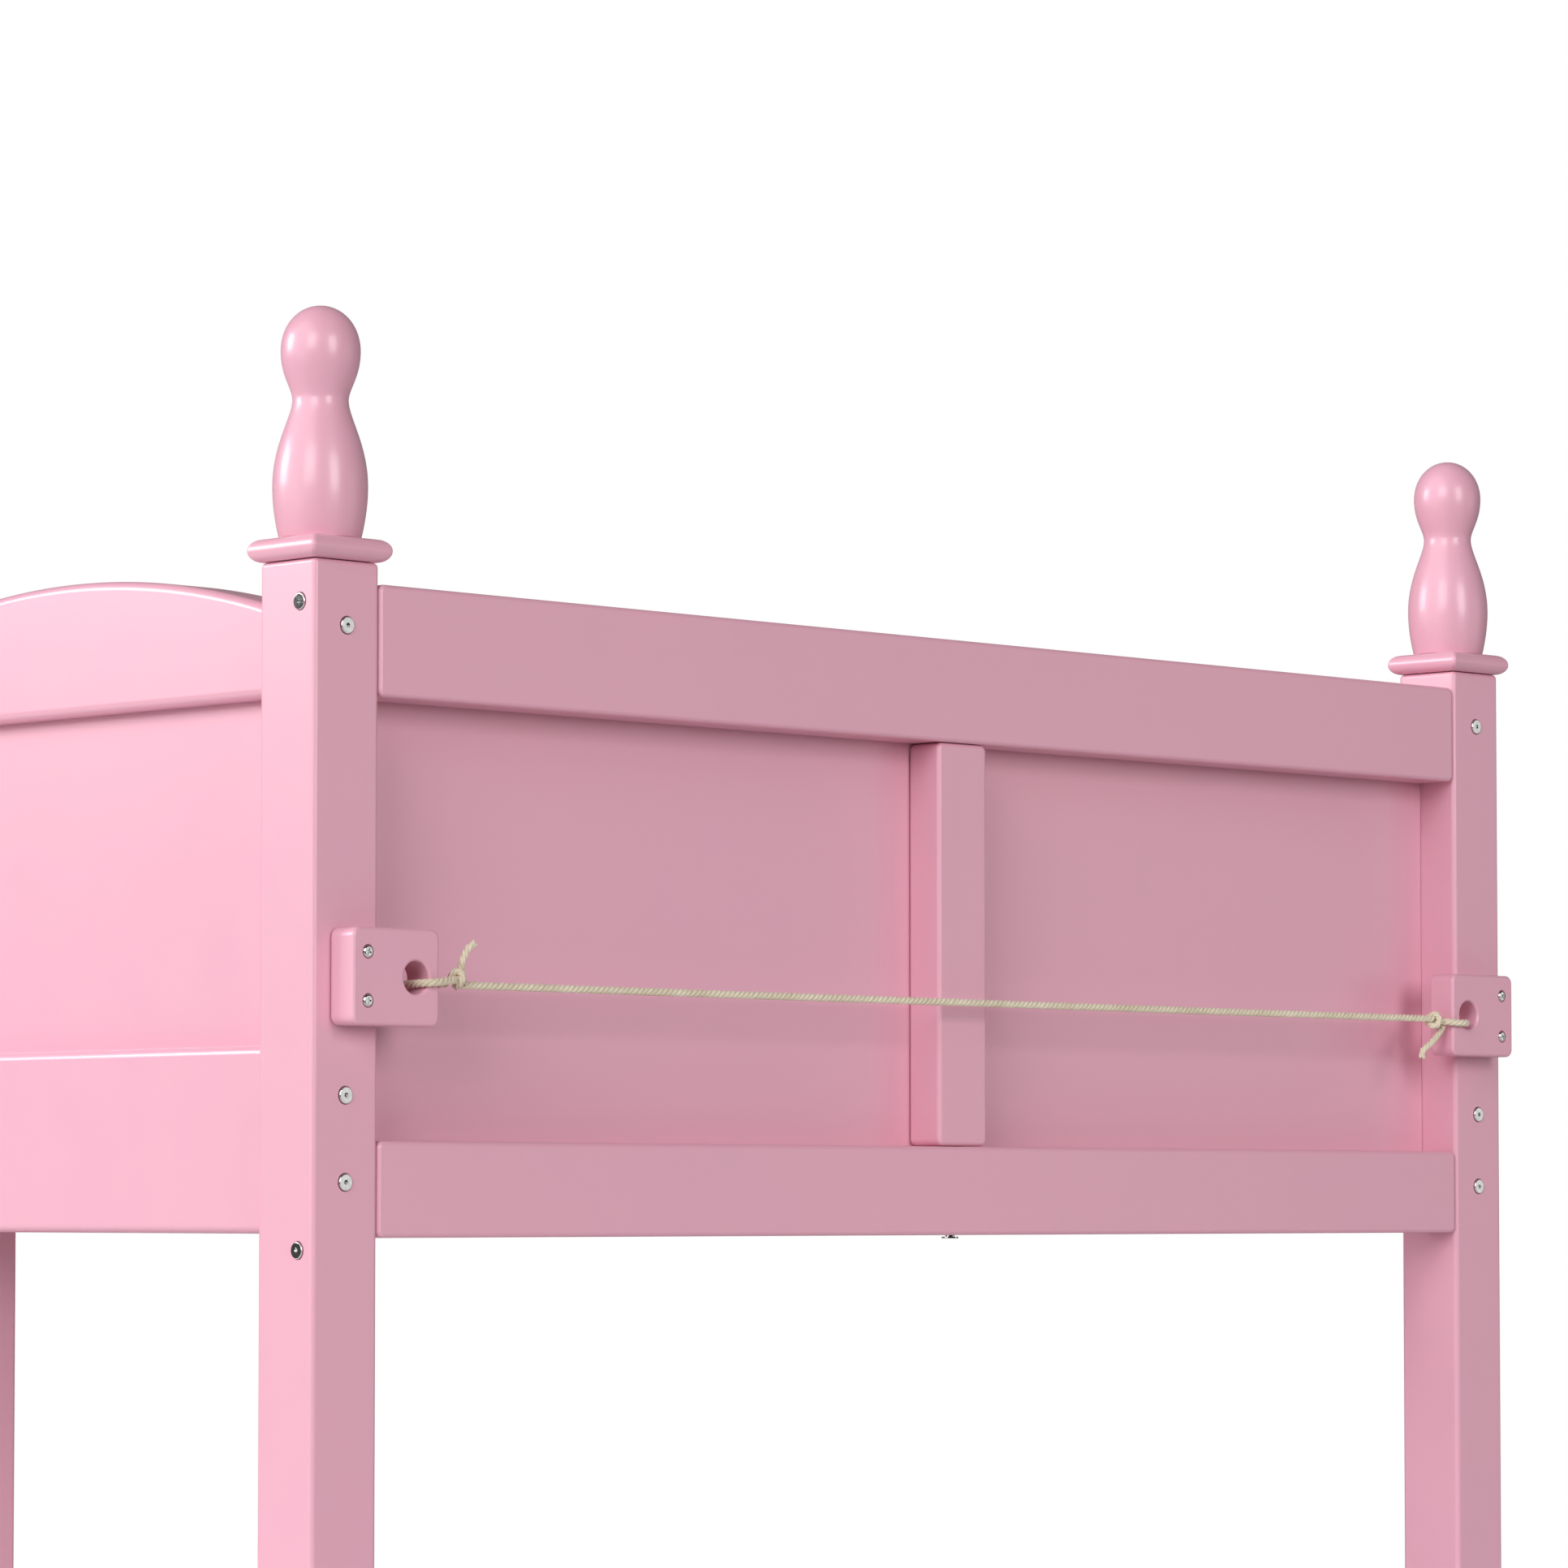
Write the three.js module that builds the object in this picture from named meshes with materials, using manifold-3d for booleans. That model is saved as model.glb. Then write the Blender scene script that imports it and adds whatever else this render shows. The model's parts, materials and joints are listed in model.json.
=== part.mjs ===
// Low loft bed: four turned-finial posts, framed panel ends, arched guards, a short ladder,
// a slatted deck and a taut rope tied between two drilled blocks on the near end.
// Millimetres, +Z up, X across the bed, Y along it, origin on the floor under the middle.
import * as THREE from 'three';
import * as BufferGeometryUtils from 'three/addons/utils/BufferGeometryUtils.js';
import Module from 'manifold-3d';

// Mattress and the room round it
const MATTRESS_WIDTH = 990;
const MATTRESS_LENGTH = 1905;
const MATTRESS_SIDE_PLAY = 5;
const MATTRESS_END_PLAY = 12.5;
const SEAT_GAP = 0.3;

// Posts, caps and finials
const POST = 50;
const POST_EDGE = 2.8;
const POST_ABOVE_TOP_RAIL = 12.1;
const CAP_THICKNESS = 13.6;
const CAP_OVERHANG = 6;
const CAP_NOSE_TIP = 0.2;
const FINIAL_HEIGHT = 138.3;
const FINIAL_BASE_RADIUS = 24.2;
const FINIAL_BASE_FLARE = 2.4;
const FINIAL_BASE_RUN = 10;
const FINIAL_BELLY_RADIUS = 28.2;
const FINIAL_BELLY_AT = 31;
const FINIAL_BELLY_RUN_BELOW = 11;
const FINIAL_BELLY_RUN_ABOVE = 25;
const FINIAL_NECK_RADIUS = 16.6;
const FINIAL_NECK_AT = 82.2;
const FINIAL_NECK_RUN_BELOW = 10;
const FINIAL_NECK_RUN_ABOVE = 7;
const FINIAL_HEAD_RADIUS = 23.6;
const FINIAL_HEAD_AT = 111.3;
const FINIAL_HEAD_RUN_BELOW = 15;
const FINIAL_HEAD_RUN_ABOVE = 15.5;
const FINIAL_CROWN_RUN = 13.2;
const FINIAL_PEG_RADIUS = 5;
const FINIAL_PEG_DEPTH = 25;
const PEG_HOLE_SPARE = 1;

// End frames
const END_RAIL_UNDERSIDE = 638;
const END_LOW_RAIL_HEIGHT = 57;
const END_OPENING_HEIGHT = 261;
const END_TOP_RAIL_HEIGHT = 66.6;
const END_RAIL_THICKNESS = 30;
const END_RAIL_CORNER = 4.6;
const END_RAIL_EDGE = 2.8;
const MUNTIN_WIDTH = 45;
const MUNTIN_SETBACK = 2.6;
const PANEL_THICKNESS = 9;
const PANEL_LAP = 15;

// Long sides and their guards
const SIDE_RAIL_UNDERSIDE = 640.5;
const SIDE_RAIL_HEIGHT = 110.8;
const SIDE_THICKNESS = 38;
const SIDE_EDGE = 5.6;
const SIDE_CORNER = 6.2;
const GUARD_STILE_EDGE = 2.8;
const GUARD_STILE_CORNER = 3.4;
const GUARD_END_HEIGHT = 54.6;
const GUARD_RISE = 26.6;
const SHORT_GUARD_LENGTH = 390;
const ENTRY_WIDTH = 380;
const GUARD_STILE_WIDTH = 45;
const GROOVE_DEPTH = 10;

// Ladder legs and rungs
const LEG_WIDTH = 50;
const LEG_DEPTH = 40;
const RUNG_COUNT = 2;
const RUNG_THICKNESS = 24;
const RUNG_DEPTH = 36;
const RUNG_HOUSING = 8;
const RUNG_EDGE = 2.4;

// Slats and the cleats that carry them
const SLAT_COUNT = 12;
const SLAT_WIDTH = 85;
const SLAT_THICKNESS = 15;
const CLEAT_WIDTH = 20;
const CLEAT_HEIGHT = 30;
const CLEAT_ABOVE_RAIL_FOOT = 21.5;
const DECK_EDGE = 1.5;
const DECK_END_PLAY = 2;

// Connector bolts: those of the end face go into the side and guard rails, those of the side
// face into the end frame
const BOLT_HEAD_RADIUS = 5.4;
const BOLT_RECESS = 2.2;
const SIDE_RAIL_BOLTS_UP = [30, 80.8];
const GUARD_RAIL_BOLT_UP = 40.4;
const TOP_RAIL_BOLT_UP = 53.7;
const LOW_BOLT_BELOW_RAIL = 7.1;
const SIDE_FACE_BOLT_INSET = 13.4;

// Rope blocks and the rope
const BLOCK_WIDTH = 66.6;
const BLOCK_HEIGHT = 57.2;
const BLOCK_THICKNESS = 21;
const BLOCK_OVERHANG = 29;
const BLOCK_ABOVE_LOW_RAIL = 95.3;
const BLOCK_CORNER = 5.5;
const BLOCK_EDGE = 2;
const BLOCK_BORE_RADIUS = 9.75;
const BLOCK_BORE_PAST_POST = 11.2;
const BLOCK_BORE_LIP = 1.8;
const BLOCK_SCREW_INSET = 11.6;
const BLOCK_SCREW_SPREAD = 28.6;
const BLOCK_SCREW_RADIUS = 4.2;
const BLOCK_SCREW_RECESS = 2;
const ROPE_RADIUS = 2.5;
const ROPE_SIDES = 8;
const KNOT_RADII = [5.6, 5.2, 6.2];

// How the solids are cut and faceted: a tool runs past the face that it cuts, and a plate's
// corners are a little rounder than its edges. Steps count the facets along a curve.
const TOOL_PAST = 1;
const CORNER_OVER_EDGE = 1.15;
const DRILL_SIDES = 12;
const TURNED_SIDES = 16;
const TURNED_STEPS = 5;
const NOSE_STEPS = 5;
const ARCH_STEPS = 12;
const LIP_STEPS = 2;
const SPAN_STEPS = 60;
const LOOP_STEPS = 20;
const TAIL_STEPS = 8;
const KNOT_SIDES = 12;
const KNOT_RINGS = 8;

// Places that follow from the sizes above
const INNER_WIDTH = MATTRESS_WIDTH + 2 * MATTRESS_SIDE_PLAY;
const INNER_LENGTH = MATTRESS_LENGTH + 2 * MATTRESS_END_PLAY;
const HALF_WIDTH = INNER_WIDTH / 2 + POST;
const BED_LENGTH = INNER_LENGTH + 2 * POST;
const NEAR_END = (BLOCK_THICKNESS + SEAT_GAP - CAP_OVERHANG - BED_LENGTH) / 2;
const FAR_END = NEAR_END + BED_LENGTH;
const END_LOW_RAIL_TOP = END_RAIL_UNDERSIDE + END_LOW_RAIL_HEIGHT;
const GUARD_UNDERSIDE = END_LOW_RAIL_TOP + END_OPENING_HEIGHT;
const POST_HEIGHT = GUARD_UNDERSIDE + END_TOP_RAIL_HEIGHT + POST_ABOVE_TOP_RAIL;
const SIDE_RAIL_TOP = SIDE_RAIL_UNDERSIDE + SIDE_RAIL_HEIGHT;
const SIDE_SETBACK = (POST - SIDE_THICKNESS) / 2;
const SIDE_INNER_FACE = HALF_WIDTH - SIDE_SETBACK - SIDE_THICKNESS;
const CLEAT_UNDERSIDE = SIDE_RAIL_UNDERSIDE + CLEAT_ABOVE_RAIL_FOOT;
const CLEAT_TOP = CLEAT_UNDERSIDE + CLEAT_HEIGHT;
const GUARD_START = NEAR_END + POST + SEAT_GAP;
const SHORT_GUARD_END = NEAR_END + POST + SHORT_GUARD_LENGTH;
const LONG_GUARD_START = SHORT_GUARD_END + ENTRY_WIDTH;
const GUARD_STOP = FAR_END - POST - SEAT_GAP;
const END_FACE_BOLT_HEIGHTS = [
  ...SIDE_RAIL_BOLTS_UP.map((up) => SIDE_RAIL_UNDERSIDE + up), GUARD_UNDERSIDE + GUARD_RAIL_BOLT_UP,
];
const SIDE_FACE_BOLT_HEIGHTS = [
  END_RAIL_UNDERSIDE - LOW_BOLT_BELOW_RAIL, GUARD_UNDERSIDE + TOP_RAIL_BOLT_UP,
];
const BLOCK_MID_HEIGHT = END_LOW_RAIL_TOP + BLOCK_ABOVE_LOW_RAIL;
const BLOCK_INNER_END = INNER_WIDTH / 2 - BLOCK_OVERHANG;
const BORE_FROM_MIDDLE = INNER_WIDTH / 2 - BLOCK_BORE_PAST_POST;
const BLOCK_FRONT = NEAR_END - SEAT_GAP - BLOCK_THICKNESS;

const FINISHES = {
  lacquer: { color: 0xe7adbd, roughness: 0.35, metalness: 0 },
  cotton: { color: 0xd9cba6, roughness: 0.9, metalness: 0 },
};

// Solids: closed meshes go in and out of the boolean library here
const wasm = await Module();
wasm.setup();

function toSolid(geometry) {
  const bare = geometry.clone();
  bare.deleteAttribute('normal');
  bare.deleteAttribute('uv');
  const merged = BufferGeometryUtils.mergeVertices(bare, 1e-4);
  return new wasm.Manifold(new wasm.Mesh({
    numProp: 3,
    vertProperties: new Float32Array(merged.attributes.position.array),
    triVerts: new Uint32Array(merged.index.array),
  }));
}

function toGeometry(solid) {
  const mesh = solid.getMesh();
  const geometry = new THREE.BufferGeometry();
  geometry.setAttribute('position', new THREE.BufferAttribute(mesh.vertProperties, 3));
  geometry.setIndex(new THREE.BufferAttribute(mesh.triVerts, 1));
  geometry.computeVertexNormals();
  return geometry;
}

function cut(geometry, tools) {
  let solid = toSolid(geometry);
  for (const tool of tools) solid = solid.subtract(toSolid(tool));
  return toGeometry(solid);
}

function box(low, high) {
  const size = new THREE.Vector3().subVectors(high, low);
  const geometry = new THREE.BoxGeometry(size.x, size.y, size.z);
  geometry.translate((low.x + high.x) / 2, (low.y + high.y) / 2, (low.z + high.z) / 2);
  return geometry;
}

// A rounded rectangle outline with its low corner at a, b
function roundedOutline(a, b, width, height, corner) {
  const shape = new THREE.Shape();
  shape.moveTo(a + corner, b);
  shape.lineTo(a + width - corner, b);
  shape.absarc(a + width - corner, b + corner, corner, -Math.PI / 2, 0, false);
  shape.lineTo(a + width, b + height - corner);
  shape.absarc(a + width - corner, b + height - corner, corner, 0, Math.PI / 2, false);
  shape.lineTo(a + corner, b + height);
  shape.absarc(a + corner, b + height - corner, corner, Math.PI / 2, Math.PI, false);
  shape.lineTo(a, b + corner);
  shape.absarc(a + corner, b + corner, corner, Math.PI, Math.PI * 1.5, false);
  return shape;
}

// A board of the outline's shape with every edge eased, lying from 0 to thickness
function easedPlate(outline, thickness, edge, curveSegments = 2, bevelSegments = 2) {
  const geometry = new THREE.ExtrudeGeometry(outline, {
    depth: thickness - 2 * edge,
    bevelEnabled: true,
    bevelThickness: edge,
    bevelSize: edge,
    bevelOffset: -edge,
    bevelSegments,
    curveSegments,
    steps: 1,
  });
  geometry.translate(0, 0, edge);
  return geometry;
}

// Stands a plate up facing -Y, its face at y and its back at y + thickness
function facingNearEnd(plate, thickness, y) {
  plate.rotateX(Math.PI / 2);
  plate.translate(0, y + thickness, 0);
  return plate;
}

// Stands a plate up across X: its outline's first axis becomes Y and its second Z
function facingSide(plate, x) {
  const axes = new THREE.Matrix4().makeBasis(
    new THREE.Vector3(0, 1, 0), new THREE.Vector3(0, 0, 1), new THREE.Vector3(1, 0, 0));
  plate.applyMatrix4(axes);
  plate.translate(x, 0, 0);
  return plate;
}

// A board with lightly eased edges, given by its low and high corners
function board(low, high, edge) {
  const size = new THREE.Vector3().subVectors(high, low);
  const outline = roundedOutline(low.x, low.y, size.x, size.y, edge * CORNER_OVER_EDGE);
  const plate = easedPlate(outline, size.z, edge, 1, 1);
  plate.translate(0, 0, low.z);
  return plate;
}

const bed = new THREE.Group();

function add(name, geometry, finish = FINISHES.lacquer) {
  const mesh = new THREE.Mesh(geometry, new THREE.MeshStandardMaterial(finish));
  mesh.name = name;
  bed.add(mesh);
  return mesh;
}

// A cylinder along X, Y or Z, centred on a point
function drill(axis, radius, length, centre) {
  const geometry = new THREE.CylinderGeometry(radius, radius, length, DRILL_SIDES);
  if (axis === 'x') geometry.rotateZ(Math.PI / 2);
  if (axis === 'z') geometry.rotateX(Math.PI / 2);
  geometry.translate(centre.x, centre.y, centre.z);
  return geometry;
}

// Posts: square, eased, drilled for the connector bolts and for the finial's peg
function post(sideSign, endSign) {
  const half = POST / 2;
  const outline = roundedOutline(-half, -half, POST, POST, POST_EDGE * CORNER_OVER_EDGE);
  const blank = easedPlate(outline, POST_HEIGHT, POST_EDGE);
  const tools = END_FACE_BOLT_HEIGHTS.map((z) => drill('y', BOLT_HEAD_RADIUS, 2 * BOLT_RECESS,
    new THREE.Vector3(0, endSign * half, z)));
  for (const z of SIDE_FACE_BOLT_HEIGHTS) {
    tools.push(drill('x', BOLT_HEAD_RADIUS, 2 * BOLT_RECESS,
      new THREE.Vector3(sideSign * half, endSign * (half - SIDE_FACE_BOLT_INSET), z)));
  }
  tools.push(drill('z', FINIAL_PEG_RADIUS + SEAT_GAP, 2 * (FINIAL_PEG_DEPTH + PEG_HOLE_SPARE),
    new THREE.Vector3(0, 0, POST_HEIGHT)));
  return cut(blank, tools);
}

// Caps: a square board whose four edges are full round noses that meet in mitres
function cap() {
  const nose = (CAP_THICKNESS - CAP_NOSE_TIP) / 2;
  const flat = POST / 2 + CAP_OVERHANG - nose;
  const outline = new THREE.Shape([
    new THREE.Vector2(-flat, -flat), new THREE.Vector2(flat, -flat),
    new THREE.Vector2(flat, flat), new THREE.Vector2(-flat, flat),
  ]);
  const blank = new THREE.ExtrudeGeometry(outline, {
    depth: CAP_NOSE_TIP,
    bevelEnabled: true,
    bevelThickness: nose,
    bevelSize: nose,
    bevelSegments: NOSE_STEPS,
    steps: 1,
  });
  blank.translate(0, 0, nose);
  return cut(blank, [drill('z', FINIAL_PEG_RADIUS + SEAT_GAP, CAP_THICKNESS + 2 * TOOL_PAST,
    new THREE.Vector3(0, 0, CAP_THICKNESS / 2))]);
}

// Finials: one turning with a belly, a neck and a domed head, on a round peg
function finial() {
  const turned = new THREE.Path();
  const pegLength = CAP_THICKNESS + SEAT_GAP + FINIAL_PEG_DEPTH;
  turned.moveTo(0, -pegLength);
  turned.lineTo(FINIAL_PEG_RADIUS, -pegLength);
  turned.lineTo(FINIAL_PEG_RADIUS, 0);
  turned.lineTo(FINIAL_BASE_RADIUS, 0);
  turned.bezierCurveTo(
    FINIAL_BASE_RADIUS + FINIAL_BASE_FLARE, FINIAL_BASE_RUN,
    FINIAL_BELLY_RADIUS, FINIAL_BELLY_AT - FINIAL_BELLY_RUN_BELOW,
    FINIAL_BELLY_RADIUS, FINIAL_BELLY_AT);
  turned.bezierCurveTo(
    FINIAL_BELLY_RADIUS, FINIAL_BELLY_AT + FINIAL_BELLY_RUN_ABOVE,
    FINIAL_NECK_RADIUS, FINIAL_NECK_AT - FINIAL_NECK_RUN_BELOW,
    FINIAL_NECK_RADIUS, FINIAL_NECK_AT);
  turned.bezierCurveTo(
    FINIAL_NECK_RADIUS, FINIAL_NECK_AT + FINIAL_NECK_RUN_ABOVE,
    FINIAL_HEAD_RADIUS, FINIAL_HEAD_AT - FINIAL_HEAD_RUN_BELOW,
    FINIAL_HEAD_RADIUS, FINIAL_HEAD_AT);
  turned.bezierCurveTo(
    FINIAL_HEAD_RADIUS, FINIAL_HEAD_AT + FINIAL_HEAD_RUN_ABOVE,
    FINIAL_CROWN_RUN, FINIAL_HEIGHT,
    0, FINIAL_HEIGHT);
  const points = turned.getPoints(TURNED_STEPS);
  const profile = points.filter((point, i) => i === 0 || point.distanceTo(points[i - 1]) > 1e-6);
  const geometry = new THREE.LatheGeometry(profile, TURNED_SIDES);
  geometry.rotateX(Math.PI / 2);
  return geometry;
}

const ENDS = [['near', -1, NEAR_END], ['far', 1, FAR_END]];
const SIDES = [['left', -1], ['right', 1]];

for (const [endName, endSign, endFace] of ENDS) {
  for (const [sideName, sideSign] of SIDES) {
    const x = sideSign * (HALF_WIDTH - POST / 2);
    const y = endFace - endSign * POST / 2;
    const tag = `${endName}_${sideName}`;
    add(`post_${tag}`, post(sideSign, endSign)).position.set(x, y, 0);
    add(`post_cap_${tag}`, cap()).position.set(x, y, POST_HEIGHT + SEAT_GAP);
    add(`finial_${tag}`, finial()).position.set(x, y, POST_HEIGHT + CAP_THICKNESS + 2 * SEAT_GAP);
  }
}

// End frames: two rails flush with the posts' end faces, a muntin, and a panel behind them
function endBoard(left, foot, width, height, thickness, setback, endSign, endFace) {
  const outline = roundedOutline(left, foot, width, height, END_RAIL_CORNER);
  const plate = easedPlate(outline, thickness, END_RAIL_EDGE);
  const near = endSign < 0 ? endFace + setback : endFace - setback - thickness;
  return facingNearEnd(plate, thickness, near);
}

for (const [endName, endSign, endFace] of ENDS) {
  const left = -INNER_WIDTH / 2 + SEAT_GAP;
  const width = INNER_WIDTH - 2 * SEAT_GAP;
  add(`${endName}_end_low_rail`, endBoard(left, END_RAIL_UNDERSIDE, width,
    END_LOW_RAIL_HEIGHT, END_RAIL_THICKNESS, 0, endSign, endFace));
  add(`${endName}_end_top_rail`, endBoard(left, GUARD_UNDERSIDE, width,
    END_TOP_RAIL_HEIGHT, END_RAIL_THICKNESS, 0, endSign, endFace));
  add(`${endName}_end_muntin`, endBoard(-MUNTIN_WIDTH / 2, END_LOW_RAIL_TOP + SEAT_GAP, MUNTIN_WIDTH,
    END_OPENING_HEIGHT - 2 * SEAT_GAP, END_RAIL_THICKNESS - MUNTIN_SETBACK, MUNTIN_SETBACK,
    endSign, endFace));
  const panelNear = endSign < 0
    ? endFace + END_RAIL_THICKNESS + SEAT_GAP
    : endFace - END_RAIL_THICKNESS - SEAT_GAP - PANEL_THICKNESS;
  add(`${endName}_end_panel`, box(
    new THREE.Vector3(left, panelNear, END_LOW_RAIL_TOP - PANEL_LAP),
    new THREE.Vector3(-left, panelNear + PANEL_THICKNESS, GUARD_UNDERSIDE + PANEL_LAP)));
}

// Long sides: every member is centred in the posts' depth
function sideLow(sideSign) {
  return sideSign < 0 ? -HALF_WIDTH + SIDE_SETBACK : HALF_WIDTH - SIDE_SETBACK - SIDE_THICKNESS;
}

function panelGroove(sideSign, start, stop, foot, top) {
  const middle = sideLow(sideSign) + SIDE_THICKNESS / 2;
  const half = PANEL_THICKNESS / 2 + SEAT_GAP;
  return box(new THREE.Vector3(middle - half, start, foot),
    new THREE.Vector3(middle + half, stop, top));
}

function sideRail(sideSign, grooves) {
  const outline = roundedOutline(GUARD_START, SIDE_RAIL_UNDERSIDE, GUARD_STOP - GUARD_START,
    SIDE_RAIL_HEIGHT, SIDE_CORNER);
  const plate = facingSide(easedPlate(outline, SIDE_THICKNESS, SIDE_EDGE), sideLow(sideSign));
  const tools = grooves.map(([start, stop]) => panelGroove(sideSign, start, stop,
    SIDE_RAIL_TOP - GROOVE_DEPTH, SIDE_RAIL_TOP + TOOL_PAST));
  return cut(plate, tools);
}

// A guard's top rail: flat below and one circular arc above, grooved below for its panel
function guardRail(sideSign, start, stop) {
  const half = (stop - start) / 2;
  const middle = (start + stop) / 2;
  const radius = (half * half + GUARD_RISE * GUARD_RISE) / (2 * GUARD_RISE);
  const top = GUARD_UNDERSIDE + GUARD_END_HEIGHT;
  const centre = top + GUARD_RISE - radius;
  const sweep = Math.asin(half / radius);
  const outline = new THREE.Shape();
  outline.moveTo(start, GUARD_UNDERSIDE);
  outline.lineTo(stop, GUARD_UNDERSIDE);
  outline.lineTo(stop, top);
  outline.absarc(middle, centre, radius, Math.PI / 2 - sweep, Math.PI / 2 + sweep, false);
  outline.lineTo(start, GUARD_UNDERSIDE);
  const plate = easedPlate(outline, SIDE_THICKNESS, SIDE_EDGE, ARCH_STEPS);
  const blank = facingSide(plate, sideLow(sideSign));
  return cut(blank, [panelGroove(sideSign, start - TOOL_PAST, stop + TOOL_PAST,
    GUARD_UNDERSIDE - TOOL_PAST, GUARD_UNDERSIDE + GROOVE_DEPTH)]);
}

function guardPanel(sideSign, start, stop) {
  const middle = sideLow(sideSign) + SIDE_THICKNESS / 2;
  const half = PANEL_THICKNESS / 2;
  return box(new THREE.Vector3(middle - half, start, SIDE_RAIL_TOP - GROOVE_DEPTH + SEAT_GAP),
    new THREE.Vector3(middle + half, stop, GUARD_UNDERSIDE + GROOVE_DEPTH - SEAT_GAP));
}

// A guard stile: stands on the side rail under the guard rail, grooved towards its panel
function guardStile(sideSign, low, panelSide) {
  const foot = SIDE_RAIL_TOP + SEAT_GAP;
  const height = GUARD_UNDERSIDE - SIDE_RAIL_TOP - 2 * SEAT_GAP;
  const outline = roundedOutline(low, foot, GUARD_STILE_WIDTH, height, GUARD_STILE_CORNER);
  const plate = facingSide(easedPlate(outline, SIDE_THICKNESS, GUARD_STILE_EDGE), sideLow(sideSign));
  const edge = panelSide < 0 ? low : low + GUARD_STILE_WIDTH;
  return cut(plate, [panelGroove(sideSign, edge - GROOVE_DEPTH, edge + GROOVE_DEPTH,
    foot - TOOL_PAST, foot + height + TOOL_PAST)]);
}

const shortPanelStop = SHORT_GUARD_END - GUARD_STILE_WIDTH + GROOVE_DEPTH - SEAT_GAP;
const longPanelStart = LONG_GUARD_START + GUARD_STILE_WIDTH - GROOVE_DEPTH + SEAT_GAP;

add('side_rail_left', sideRail(-1, [
  [GUARD_START - TOOL_PAST, shortPanelStop + SEAT_GAP],
  [longPanelStart - SEAT_GAP, GUARD_STOP + TOOL_PAST],
]));
add('short_guard_rail', guardRail(-1, GUARD_START, SHORT_GUARD_END));
add('short_guard_panel', guardPanel(-1, GUARD_START, shortPanelStop));
add('short_guard_stile', guardStile(-1, SHORT_GUARD_END - GUARD_STILE_WIDTH, -1));
add('long_guard_rail', guardRail(-1, LONG_GUARD_START, GUARD_STOP));
add('long_guard_panel', guardPanel(-1, longPanelStart, GUARD_STOP));
add('long_guard_stile', guardStile(-1, LONG_GUARD_START, 1));

add('side_rail_right', sideRail(1, [[GUARD_START - TOOL_PAST, GUARD_STOP + TOOL_PAST]]));
add('full_guard_rail', guardRail(1, GUARD_START, GUARD_STOP));
add('full_guard_panel', guardPanel(1, GUARD_START, GUARD_STOP));

// Ladder: two legs notched over the slat cleat, with rungs housed between them
function ladderLeg(low, rungSide) {
  const x = -SIDE_INNER_FACE + SEAT_GAP;
  const notch = CLEAT_WIDTH + SEAT_GAP;
  const blank = board(new THREE.Vector3(x, low, 0),
    new THREE.Vector3(x + LEG_DEPTH, low + LEG_WIDTH, CLEAT_TOP - SEAT_GAP), POST_EDGE);
  const tools = [box(
    new THREE.Vector3(x - TOOL_PAST, low - TOOL_PAST, CLEAT_UNDERSIDE - SEAT_GAP),
    new THREE.Vector3(x + notch, low + LEG_WIDTH + TOOL_PAST, CLEAT_TOP + TOOL_PAST))];
  const face = rungSide > 0 ? low + LEG_WIDTH : low;
  for (let i = 1; i <= RUNG_COUNT; i += 1) {
    const z = rungHeight(i);
    const middle = x + LEG_DEPTH / 2;
    tools.push(box(
      new THREE.Vector3(middle - RUNG_DEPTH / 2 - SEAT_GAP, face - RUNG_HOUSING, z - SEAT_GAP),
      new THREE.Vector3(middle + RUNG_DEPTH / 2 + SEAT_GAP, face + RUNG_HOUSING,
        z + RUNG_THICKNESS + SEAT_GAP)));
  }
  return cut(blank, tools);
}

function rungHeight(i) {
  return SIDE_RAIL_UNDERSIDE * i / (RUNG_COUNT + 1) - RUNG_THICKNESS / 2;
}

const nearLegLow = SHORT_GUARD_END - LEG_WIDTH;
add('ladder_leg_near', ladderLeg(nearLegLow, 1));
add('ladder_leg_far', ladderLeg(LONG_GUARD_START, -1));
for (let i = 1; i <= RUNG_COUNT; i += 1) {
  const middle = -SIDE_INNER_FACE + SEAT_GAP + LEG_DEPTH / 2;
  const reach = RUNG_HOUSING - SEAT_GAP;
  add(`ladder_rung_${i}`, board(
    new THREE.Vector3(middle - RUNG_DEPTH / 2, SHORT_GUARD_END - reach, rungHeight(i)),
    new THREE.Vector3(middle + RUNG_DEPTH / 2, LONG_GUARD_START + reach,
      rungHeight(i) + RUNG_THICKNESS), RUNG_EDGE));
}

// Deck: a cleat inside each side rail, with the slats lying across the two
for (const [sideName, sideSign] of SIDES) {
  const outer = SIDE_INNER_FACE - SEAT_GAP;
  const low = sideSign < 0 ? -outer : outer - CLEAT_WIDTH;
  add(`slat_cleat_${sideName}`, board(new THREE.Vector3(low, GUARD_START, CLEAT_UNDERSIDE),
    new THREE.Vector3(low + CLEAT_WIDTH, GUARD_STOP, CLEAT_TOP), DECK_EDGE));
}

const deckLow = NEAR_END + POST + DECK_END_PLAY;
const slatPitch = (INNER_LENGTH - 2 * DECK_END_PLAY - SLAT_WIDTH) / (SLAT_COUNT - 1);
for (let i = 0; i < SLAT_COUNT; i += 1) {
  const y = deckLow + i * slatPitch;
  const reach = SIDE_INNER_FACE - SEAT_GAP;
  add(`slat_${String(i + 1).padStart(2, '0')}`, board(
    new THREE.Vector3(-reach, y, CLEAT_TOP + SEAT_GAP),
    new THREE.Vector3(reach, y + SLAT_WIDTH, CLEAT_TOP + SEAT_GAP + SLAT_THICKNESS), DECK_EDGE));
}

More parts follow.
